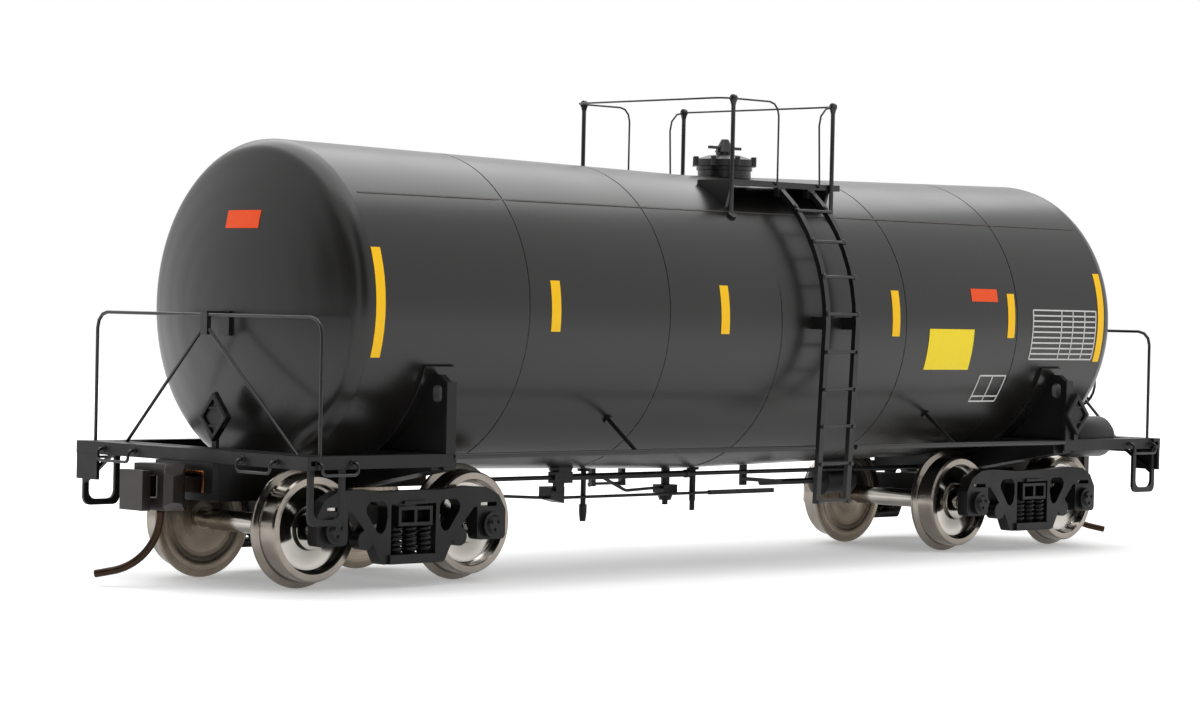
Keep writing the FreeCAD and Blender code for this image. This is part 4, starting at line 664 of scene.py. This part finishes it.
class TANKCAR_OT_finishes(bpy.types.Operator):
    """Gives every carried-over node its finish and smooths its round faces"""
    bl_idname = "tankcar.finishes"
    bl_label = "Finishes"

    # Faces that meet at fewer degrees than this are shaded as one round face
    crease = {"wire_paint": 65, "body_paint": 34}
    usual_crease = 42

    def execute(self, context):
        for part in frame["record"]["subparts"]:
            node = frame["nodes"][part["node"]]
            node.material_slots[0].link = "OBJECT"
            node.material_slots[0].material = finish(part["material_slot"])
            smooth = node.modifiers.new("round shading", "NODES")
            smooth.node_group = self.round_shading(
                self.crease.get(part["material_slot"], self.usual_crease))
        return {"FINISHED"}

    def round_shading(self, angle):
        """Nodes that weld the triangles and leave only edges over the angle sharp."""
        name = "round shading to %d degrees" % angle
        if name in bpy.data.node_groups:
            return bpy.data.node_groups[name]
        tree = bpy.data.node_groups.new(name, "GeometryNodeTree")
        for way in ("INPUT", "OUTPUT"):
            tree.interface.new_socket("Geometry", in_out=way, socket_type="NodeSocketGeometry")
        start = add_node(tree, "NodeGroupInput")
        weld = add_node(tree, "GeometryNodeMergeByDistance", {"Distance": WELD},
                        {"Geometry": start.outputs[0]})
        turn = add_node(tree, "GeometryNodeInputMeshEdgeAngle").outputs["Unsigned Angle"]
        sharp = add_node(tree, "ShaderNodeMath", {1: math.radians(angle)}, {0: turn},
                         operation="GREATER_THAN")
        shaded = add_node(tree, "GeometryNodeSetMeshNormal", {"Remove Custom": True}, {
            "Mesh": weld.outputs[0], "Edge Sharpness": sharp.outputs[0]}, mode="SHARPNESS")
        add_node(tree, "NodeGroupOutput", links={0: shaded.outputs[0]})
        return tree


# Wheels

class TANKCAR_OT_wheels(bpy.types.Operator):
    """Turns the wheels with their fillets, dished faces and hubs"""
    bl_idname = "tankcar.wheels"
    bl_label = "Wheels"

    rim_thick = 0.95 * MM
    # The back's hollow: a share of the flange's thickness deep, with sloped ends to hub and rim
    hollow = 0.12
    hub_slope = 0.2 * MM
    rim_slope = 0.1 * MM
    # The flange: shares of its thickness, on from the back and down from its tip
    flange_curve = ((0, 0.42), (0.1, 0.16), (0.3, 0.02), (0.45, 0), (0.62, 0.05), (0.74, 0.2))
    # The fillet at its root: a share of that thickness on from the back, and height over tread
    flange_root = ((0.92, 0.12 * MM), (1.02, 0.02 * MM), (1.2, 0))
    # The front: depths behind the face, with drops below the tread and below the rim's inside,
    # and then with heights over the hub
    tread_edge = ((0.2 * MM, 0.08 * MM), (0, 0.24 * MM))
    dish = ((0, -0.08 * MM), (0.1 * MM, 0), (0.8 * MM, 0.12 * MM), (0.98 * MM, 0.3 * MM),
            (1.0 * MM, 0.5 * MM))
    hub_curve = ((1.0 * MM, 0.3 * MM), (0.92 * MM, 0.12 * MM), (0.35 * MM, 0),
                 (0.3 * MM, -0.1 * MM))

    def execute(self, context):
        sizes = context.scene.tankcar_wheels
        rim = FLANGE_R - sizes.flange_depth - self.rim_thick
        section = self.section(sizes, rim)
        for number, x in enumerate(AXLE_X, start=1):
            pair = []
            for side in SIDES.values():
                pair.append(turned(section, Vector((x, 0, AXLE_Z)), (0, side, 0), sizes.steps))
            name = "wheels_%d" % number
            piece = settle(join(pair), "turned_" + name, "wheelset_%d" % number,
                           "turned_metal", smooth_to=27)
            self.finish_faces(piece, "wheel_back", self.faces_in)
            # Tread and flange faces get the greyer finish of painted shade
            self.finish_faces(piece, "tread_with_painted_shade", lambda face: (
                not self.faces_in(face)
                and math.hypot(face.center.x - x, face.center.z - AXLE_Z) > rim))
            self.keep_radius(piece, x)
            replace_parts(piece, name)
        return {"FINISHED"}

    def section(self, sizes, rim):
        """A wheel's section, as distances from the car's middle and radii."""
        back = WHEEL_FACE - sizes.width
        tread = FLANGE_R - sizes.flange_depth
        flange = sizes.flange
        deep = back + self.hollow * flange
        points = [(back, sizes.bore), (back, sizes.hub), (deep, sizes.hub + self.hub_slope),
                  (deep, rim - self.rim_slope), (back, rim + self.rim_slope)]
        points += [(back + on * flange, FLANGE_R - down * flange)
                   for on, down in self.flange_curve]
        points += [(back + on * flange, tread + over) for on, over in self.flange_root]
        points += [(WHEEL_FACE - depth, tread - down) for depth, down in self.tread_edge]
        points += [(WHEEL_FACE - depth, rim - down) for depth, down in self.dish]
        points += [(WHEEL_FACE - depth, sizes.hub + over) for depth, over in self.hub_curve]
        points += [(points[-1][0], sizes.bore), points[0]]
        return points

    def faces_in(self, face):
        """True where a wheel's face looks mostly towards the middle of the axle."""
        return face.normal.y * face.center.y < -0.5 * abs(face.center.y)

    def finish_faces(self, piece, finish_name, wanted):
        """Gives the faces that a test wants a finish of their own."""
        piece.data.materials.append(finish(finish_name))
        pick_faces(piece, wanted)
        piece.active_material_index = len(piece.data.materials) - 1
        bpy.ops.object.material_slot_assign()
        leave_edit()

    def keep_radius(self, piece, x):
        """Keeps each point's distance from the axle, which the turned finish reads."""
        radius = piece.data.attributes.new(TURN_RADIUS, "FLOAT", "POINT")
        for point, value in zip(piece.data.vertices, radius.data):
            value.value = math.hypot(point.co.x - x, point.co.z - AXLE_Z)


# Trucks

class TANKCAR_OT_cap_bolts(bpy.types.Operator):
    """Puts three bolt heads on each bearing cap"""
    bl_idname = "tankcar.cap_bolts"
    bl_label = "Cap bolts"

    radius = 0.2 * MM
    height = 0.3 * MM
    # Bolts on a circle about the axle, the first a share of a step up from the level
    circle = 0.52 * MM
    bolts = 3
    first = 0.25

    def execute(self, context):
        for end, way in ENDS.items():
            for side, out in SIDES.items():
                places = [self.bolt_place(x, number, out) for x in AXLE_X if x * way > 0
                          for number in range(self.bolts)]
                heads = hex_heads(places, (0, out, 0), self.radius, self.height)
                settle(heads, "cap_bolts_%s_%s" % (end, side), "truck_" + end, "frame_plastic")
        return {"FINISHED"}

    def bolt_place(self, x, number, out):
        """Middle of one bolt of the cap at x."""
        angle = math.tau * (number + self.first) / self.bolts
        return (x + self.circle * math.cos(angle), out * CAP_FACE,
                AXLE_Z + self.circle * math.sin(angle))


class TANKCAR_OT_springs(bpy.types.Operator):
    """Winds the coil springs that carry each bolster, two rows on a seat plate"""
    bl_idname = "tankcar.springs"
    bl_label = "Springs"

    radius = 0.66 * MM
    wire = 0.16 * MM
    turns = 5
    # Height of the seat plate's top, and of the springs over it
    floor = 3.3 * MM
    height = 2.8 * MM
    # Distance of the outer row from the car's middle, of the rows, and of springs along a row
    row = 11.99 * MM
    row_gap = 1.5 * MM
    pitch_along = 1.85 * MM
    # Each spring's place: steps along the car and rows inward
    places = ((-1, 0), (0, 0), (1, 0), (-0.5, 1), (0.5, 1))
    # Seat plate: thickness, half its length, its two sides inward of the outer row, rounding
    plate = 0.3 * MM
    plate_half = 2.2 * MM
    plate_sides = (0.7 * MM, 2.2 * MM)
    plate_edge = 0.05 * MM

    def execute(self, context):
        pitch = (self.height - 2 * self.wire) / self.turns
        low = self.floor + self.wire
        first = coil(Vector((TRUCK_X, self.row, low)), self.radius, self.wire, pitch, self.turns)
        for end, way in ENDS.items():
            x = way * TRUCK_X
            for side, out in SIDES.items():
                springs = [self.placed(first, x, out, along, inward)
                           for along, inward in self.places]
                near, far = sorted(out * (self.row - step) for step in self.plate_sides)
                springs.append(block((x - self.plate_half, near, self.floor - self.plate),
                                     (x + self.plate_half, far, self.floor), self.plate_edge))
                settle(join(springs), "coil_springs_%s_%s" % (end, side), "truck_" + end,
                       "frame_plastic", smooth_to=50)
        bpy.data.objects.remove(first)
        return {"FINISHED"}

    def placed(self, first, x, out, along, inward):
        """A copy of the first spring at its place in the truck at x."""
        shift = (x + along * self.pitch_along - TRUCK_X,
                 out * (self.row - inward * self.row_gap) - self.row, 0)
        return copy_of(first, shift)


# Small fittings

def outermost(node, axis, sign, depth, gap):
    """Middles of the groups of a node's points that lie nearest to one side of its box."""
    low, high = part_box(node)
    limit = (high if sign > 0 else low)[axis]
    points = sorted((point.co for point in frame["nodes"][node].data.vertices
                     if abs(point.co[axis] - limit) < depth), key=lambda place: place.z)
    groups = [[points[0]]]
    for before, point in zip(points, points[1:]):
        if point.z - before.z > gap:
            groups.append([])
        groups[-1].append(point)
    return [sum(group, Vector()) / len(group) for group in groups]


class TANKCAR_OT_rung_ends(bpy.types.Operator):
    """Caps the ends of the ladders' rungs with the heads that hold them to the stiles"""
    bl_idname = "tankcar.rung_ends"
    bl_label = "Rung ends"

    radius = 0.3 * MM
    height = 0.26 * MM
    # Each head's place: in from the stile's outer face, and out from the rung's middle
    inset = 0.35 * MM
    lift = 0.16 * MM
    # A ladder's points this near the side of its box are rung ends, and a wider gap parts them
    depth = 0.02 * MM
    gap = 1.0 * MM

    def execute(self, context):
        axis = middle("tank_shell")
        for side in SIDES:
            heads = []
            for sign in (-1, 1):
                for end in outermost("ladder_" + side, 0, sign, self.depth, self.gap):
                    # Heads face out from the tank's axis, and below it straight to the side
                    facing = Vector((0, end.y, max(0, end.z - axis.z))).normalized()
                    place = end - Vector((sign * self.inset, 0, 0)) + facing * self.lift
                    heads.append(hex_heads([place], facing, self.radius, self.height))
            settle(join(heads), "rung_ends_" + side, "tank_car", "wire_paint")
        return {"FINISHED"}


class TANKCAR_OT_grab_feet(bpy.types.Operator):
    """Sets a foot round each end of the grab irons, where they enter the sills"""
    bl_idname = "tankcar.grab_feet"
    bl_label = "Grab feet"

    radius = 0.4 * MM
    height = 0.26 * MM
    # Where the irons enter: out along the end sill, and along the side sills
    end_y = (8.5 * MM, 13.5 * MM)
    side_x = (61.2 * MM, 65.54 * MM)

    def execute(self, context):
        sill_low, sill_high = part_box("end_sill_b")
        side_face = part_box("side_sills_b")[1].y
        level = 0.5 * (sill_low.z + sill_high.z)
        for end, way in ENDS.items():
            feet = [hex_heads([(way * sill_high.x, side * y, level) for y in self.end_y
                               for side in SIDES.values()], (way, 0, 0),
                              self.radius, self.height)]
            for side in SIDES.values():
                feet.append(hex_heads([(way * x, side * side_face, level) for x in self.side_x],
                                      (0, side, 0), self.radius, self.height))
            settle(join(feet), "grab_feet_" + end, "tank_car", "frame_plastic")
        return {"FINISHED"}


class TANKCAR_OT_placard_frames(bpy.types.Operator):
    """Frames the blank placard holders with the raised rim that keeps a card in"""
    bl_idname = "tankcar.placard_frames"
    bl_label = "Placard frames"

    half_wide = 2.2 * MM
    half_high = 2.45 * MM
    level = 16.3 * MM
    rim = 0.5 * MM
    raised = 0.32 * MM
    # Rounding of the rim, as a share of its height
    rounding = 0.45
    # Face of the holder on the end, and place along the car and face of the one on the side
    end_face = 63.8 * MM
    side_x = 49.95 * MM
    side_face = 18.2 * MM

    def execute(self, context):
        for end, way in ENDS.items():
            frames = [self.rim_at((way * self.end_face, 0, self.level), (way, 0, 0)),
                      self.rim_at((way * self.side_x, -way * self.side_face, self.level),
                                  (0, -way, 0))]
            settle(join(frames), "placard_frames_" + end, "tank_car", "frame_plastic")
        return {"FINISHED"}

    def rim_at(self, centre, facing):
        """A diamond's raised rim: four corners, inset, opened and thickened outwards."""
        select_none()
        bpy.ops.mesh.primitive_circle_add(
            vertices=4, radius=self.half_high, fill_type="NGON", location=centre,
            rotation=Vector(facing).to_track_quat("Z", "Y").to_euler())
        rim = bpy.context.object
        rim.scale.x = self.half_wide / self.half_high
        bpy.ops.object.transform_apply()
        pick_faces(rim, lambda face: True)
        bpy.ops.mesh.inset(thickness=self.rim)
        bpy.ops.mesh.delete(type="FACE")
        leave_edit()
        modify(rim, "SOLIDIFY", thickness=self.raised, offset=1, use_even_offset=True)
        bevel(rim, self.rounding * self.raised, segments=3)
        return rim


class TANKCAR_OT_spring_boxes(bpy.types.Operator):
    """Lines the mouth of each draft box with the bronze sheet of the centring spring"""
    bl_idname = "tankcar.spring_boxes"
    bl_label = "Spring boxes"

    half = 3.1 * MM
    low = 9.2 * MM
    high = 11.3 * MM
    front = 67.45 * MM
    deep = 3.0 * MM
    sheet = 0.28 * MM
    edge = 0.06 * MM

    def execute(self, context):
        for end, way in ENDS.items():
            x = way * (self.front - 0.5 * self.deep)
            select_none()
            bpy.ops.mesh.primitive_cube_add(
                size=1, location=(x, 0, 0.5 * (self.low + self.high)),
                scale=(self.deep, 2 * self.half, self.high - self.low))
            bpy.ops.object.transform_apply()
            channel = bpy.context.object
            # Only the top and the two sides stay
            pick_faces(channel, lambda face: abs(face.normal.x) > 0.5 or face.normal.z < -0.5)
            bpy.ops.mesh.delete(type="FACE")
            leave_edit()
            modify(channel, "SOLIDIFY", thickness=self.sheet, offset=-1, use_even_offset=True)
            bevel(channel, self.edge)
            settle(channel, "spring_box_" + end, "tank_car", "bronze")
        return {"FINISHED"}


# Printing on the tank

# The ink's grid and thickness, and how far it lies off the tank
INK_GRID = 0.35 * MM
INK_THICK = 0.03 * MM
INK_LIFT = 0.02 * MM
# Where a patch starts, clear of the tank's side and of its end
BESIDE_TANK = 20 * MM
BEYOND_END = 80 * MM


def tank_copy():
    """One joined copy of the jacket and both heads, for laying prints on."""
    names = ("tank_shell", "tank_head_a", "tank_head_b")
    return join([copy_of(frame["nodes"][name]) for name in names])


def print_patch(tank, centre, wide, high, facing, pitch=INK_GRID):
    """A thin patch of ink laid on the tank: a grid dropped on it along the facing direction."""
    out = Vector(facing)
    level = Vector((0, 0, 1)).cross(out).normalized()
    select_none()
    bpy.ops.mesh.primitive_grid_add(
        x_subdivisions=max(2, round(wide / pitch)), y_subdivisions=max(2, round(high / pitch)),
        size=1)
    patch = bpy.context.object
    upright = Vector((0, 0, 1))
    patch.matrix_world = Matrix.Translation(centre) @ Matrix(
        (level * wide, upright * high, out)).transposed().to_4x4()
    bpy.ops.object.transform_apply()
    modify(patch, "SHRINKWRAP", target=tank, wrap_method="PROJECT", use_project_x=abs(out.x) > 0.5,
           use_project_y=abs(out.y) > 0.5, use_project_z=False, use_negative_direction=True,
           use_positive_direction=True, offset=INK_LIFT)
    modify(patch, "SOLIDIFY", thickness=INK_THICK, offset=1)
    return patch


class TANKCAR_OT_stripes(bpy.types.Operator):
    """Prints the yellow stripes down both sides of the tank"""
    bl_idname = "tankcar.stripes"
    bl_label = "Stripes"

    # Middle of each stripe along the tank: four short ones, then one at each end
    short_x = (-33.7 * MM, -8.9 * MM, 19.0 * MM, 39.7 * MM)
    end_x = (-56.9 * MM, 56.9 * MM)

    def execute(self, context):
        sizes = context.scene.tankcar_stripes
        tank = tank_copy()
        for side, out in SIDES.items():
            stripes = []
            rows = [(x, sizes.width, sizes.low, sizes.high) for x in self.short_x]
            rows += [(x, sizes.end_width, sizes.end_low, sizes.end_high) for x in self.end_x]
            for x, width, low, high in rows:
                centre = Vector((x, out * BESIDE_TANK, 0.5 * (low + high)))
                stripes.append(print_patch(tank, centre, width, high - low, (0, out, 0)))
            settle(join(stripes), "stripes_" + side, "tank_car", "yellow_ink")
        bpy.data.objects.remove(tank)
        return {"FINISHED"}


class TANKCAR_OT_parting_lines(bpy.types.Operator):
    """Runs the fine raised line of the tank's mould along both sides, its highlight painted grey
    """
    bl_idname = "tankcar.parting_lines"
    bl_label = "Parting lines"

    level = 38.3 * MM
    width = 0.14 * MM
    # Ends in from the jacket's, and step of the patch's grid, as the line is straight and long
    inset = 1.5 * MM
    pitch = 1.2 * MM

    def execute(self, context):
        tank = tank_copy()
        low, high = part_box("tank_shell")
        for side, out in SIDES.items():
            centre = Vector((0.5 * (low.x + high.x), out * BESIDE_TANK, self.level))
            line = print_patch(tank, centre, high.x - low.x - 2 * self.inset, self.width,
                               (0, out, 0), self.pitch)
            # The line's grey ink is a painted highlight
            settle(line, "parting_line_" + side, "tank_car", "painted_line_highlight")
        bpy.data.objects.remove(tank)
        return {"FINISHED"}


class TANKCAR_OT_labels(bpy.types.Operator):
    """Prints the blank labels, table and box of the near side and the tag of end A"""
    bl_idname = "tankcar.labels"
    bl_label = "Labels"

    # Middle and size in millimetres, along or across the tank and up
    labels = (
        ("side_tag", "orange_ink", (34.9, 30.05), (4.75, 1.45), "near"),
        ("side_label", "label_ink", (28.9, 23.8), (8.0, 4.62), "near"),
        ("end_tag", "orange_ink", (-1.0, 35.55), (4.9, 1.75), "end"),
    )
    # Ruled table and box in millimetres: width of a line, and for each its edges along and up,
    # and the lines between them as shares
    line = 0.17
    tables = (
        ("side_table", (43.8, 55.9), (22.75, 28.5), (0.45, 0.63, 0.82),
         [row / 9 for row in range(1, 9)]),
        ("side_box", (35.6, 40.4), (17.8, 20.8), (0.5,), (0.2,)),
    )

    def execute(self, context):
        tank = tank_copy()
        for name, ink, (along, up), (wide, high), where in self.labels:
            if where == "near":
                start, facing = Vector((along * MM, -BESIDE_TANK, up * MM)), (0, -1, 0)
            else:
                start, facing = Vector((-BEYOND_END, along * MM, up * MM)), (-1, 0, 0)
            patch = print_patch(tank, start, wide * MM, high * MM, facing)
            settle(patch, name, "tank_car", ink)
        for table in self.tables:
            self.ruled(tank, *table)
        bpy.data.objects.remove(tank)
        return {"FINISHED"}

    def ruled(self, tank, name, across, up, uprights, levels):
        """White lines round and across a blank table."""
        (x0, x1), (z0, z1) = across, up
        lines = []
        for share in (0, *uprights, 1):
            lines.append((x0 + share * (x1 - x0), 0.5 * (z0 + z1), self.line, z1 - z0))
        for share in (0, *levels, 1):
            lines.append((0.5 * (x0 + x1), z0 + share * (z1 - z0), x1 - x0, self.line))
        strips = [print_patch(tank, Vector((x * MM, -BESIDE_TANK, z * MM)), wide * MM, high * MM,
                              (0, -1, 0)) for x, z, wide, high in lines]
        settle(join(strips), name, "tank_car", "white_ink")


# Couplers

class TANKCAR_OT_trip_pins(bpy.types.Operator):
    """Bends the round trip pins below the couplers"""
    bl_idname = "tankcar.trip_pins"
    bl_label = "Trip pins"

    radius = 0.38 * MM
    place = 70.1 * MM
    # Height of the corner and radius of the bend there, and the tip out, aside and up
    corner = 2.45 * MM
    bend = 5.7 * MM
    tip = (4.0 * MM, 4.9 * MM, 1.15 * MM)
    edge = 0.1 * MM
    sides = 16
    bend_steps = 18

    def execute(self, context):
        out, aside, up = self.tip
        for end, way in ENDS.items():
            node = "trip_pin_" + end
            x = way * self.place
            route = [(x, 0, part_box(node)[1].z), (x, 0, self.corner),
                     (x + way * out, -way * aside, up)]
            pin = bent_wire(route, [self.bend], self.radius, self.sides, self.bend_steps)
            bevel(pin, self.edge)
            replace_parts(settle(pin, "bent_" + node, "coupler_" + end, "pin_wire"), node)
        return {"FINISHED"}


class TANKCAR_PT_panel(bpy.types.Panel):
    """Lists what dresses the tank car"""
    bl_idname = "TANKCAR_PT_panel"
    bl_label = "Tank Car"
    bl_space_type = "VIEW_3D"
    bl_region_type = "UI"
    bl_category = "Tank Car"

    def draw(self, context):
        scene = context.scene
        for group in (scene.tankcar_stage, scene.tankcar_stripes, scene.tankcar_wheels):
            column = self.layout.column()
            for name in group.bl_rna.properties.keys():
                if name not in ("rna_type", "name"):
                    column.prop(group, name)
        for operator in OPERATORS:
            self.layout.operator(operator.bl_idname)


SETTINGS = {
    "tankcar_stage": StageSettings,
    "tankcar_stripes": StripeSettings,
    "tankcar_wheels": WheelSettings,
}
OPERATORS = (
    TANKCAR_OT_camera, TANKCAR_OT_stage, TANKCAR_OT_finishes, TANKCAR_OT_wheels,
    TANKCAR_OT_cap_bolts, TANKCAR_OT_springs, TANKCAR_OT_rung_ends, TANKCAR_OT_grab_feet,
    TANKCAR_OT_placard_frames, TANKCAR_OT_spring_boxes, TANKCAR_OT_stripes,
    TANKCAR_OT_parting_lines, TANKCAR_OT_labels, TANKCAR_OT_trip_pins,
)


def register():
    for group in SETTINGS.values():
        bpy.utils.register_class(group)
    for name, group in SETTINGS.items():
        setattr(bpy.types.Scene, name, PointerProperty(type=group))
    for operator in OPERATORS:
        bpy.utils.register_class(operator)
    bpy.utils.register_class(TANKCAR_PT_panel)


def unregister():
    bpy.utils.unregister_class(TANKCAR_PT_panel)
    for operator in reversed(OPERATORS):
        bpy.utils.unregister_class(operator)
    for name, group in reversed(SETTINGS.items()):
        delattr(bpy.types.Scene, name)
        bpy.utils.unregister_class(group)


def main():
    register()
    for operator in OPERATORS:
        group, name = operator.bl_idname.split(".")
        getattr(getattr(bpy.ops, group), name)()


if __name__ == "__main__":
    main()
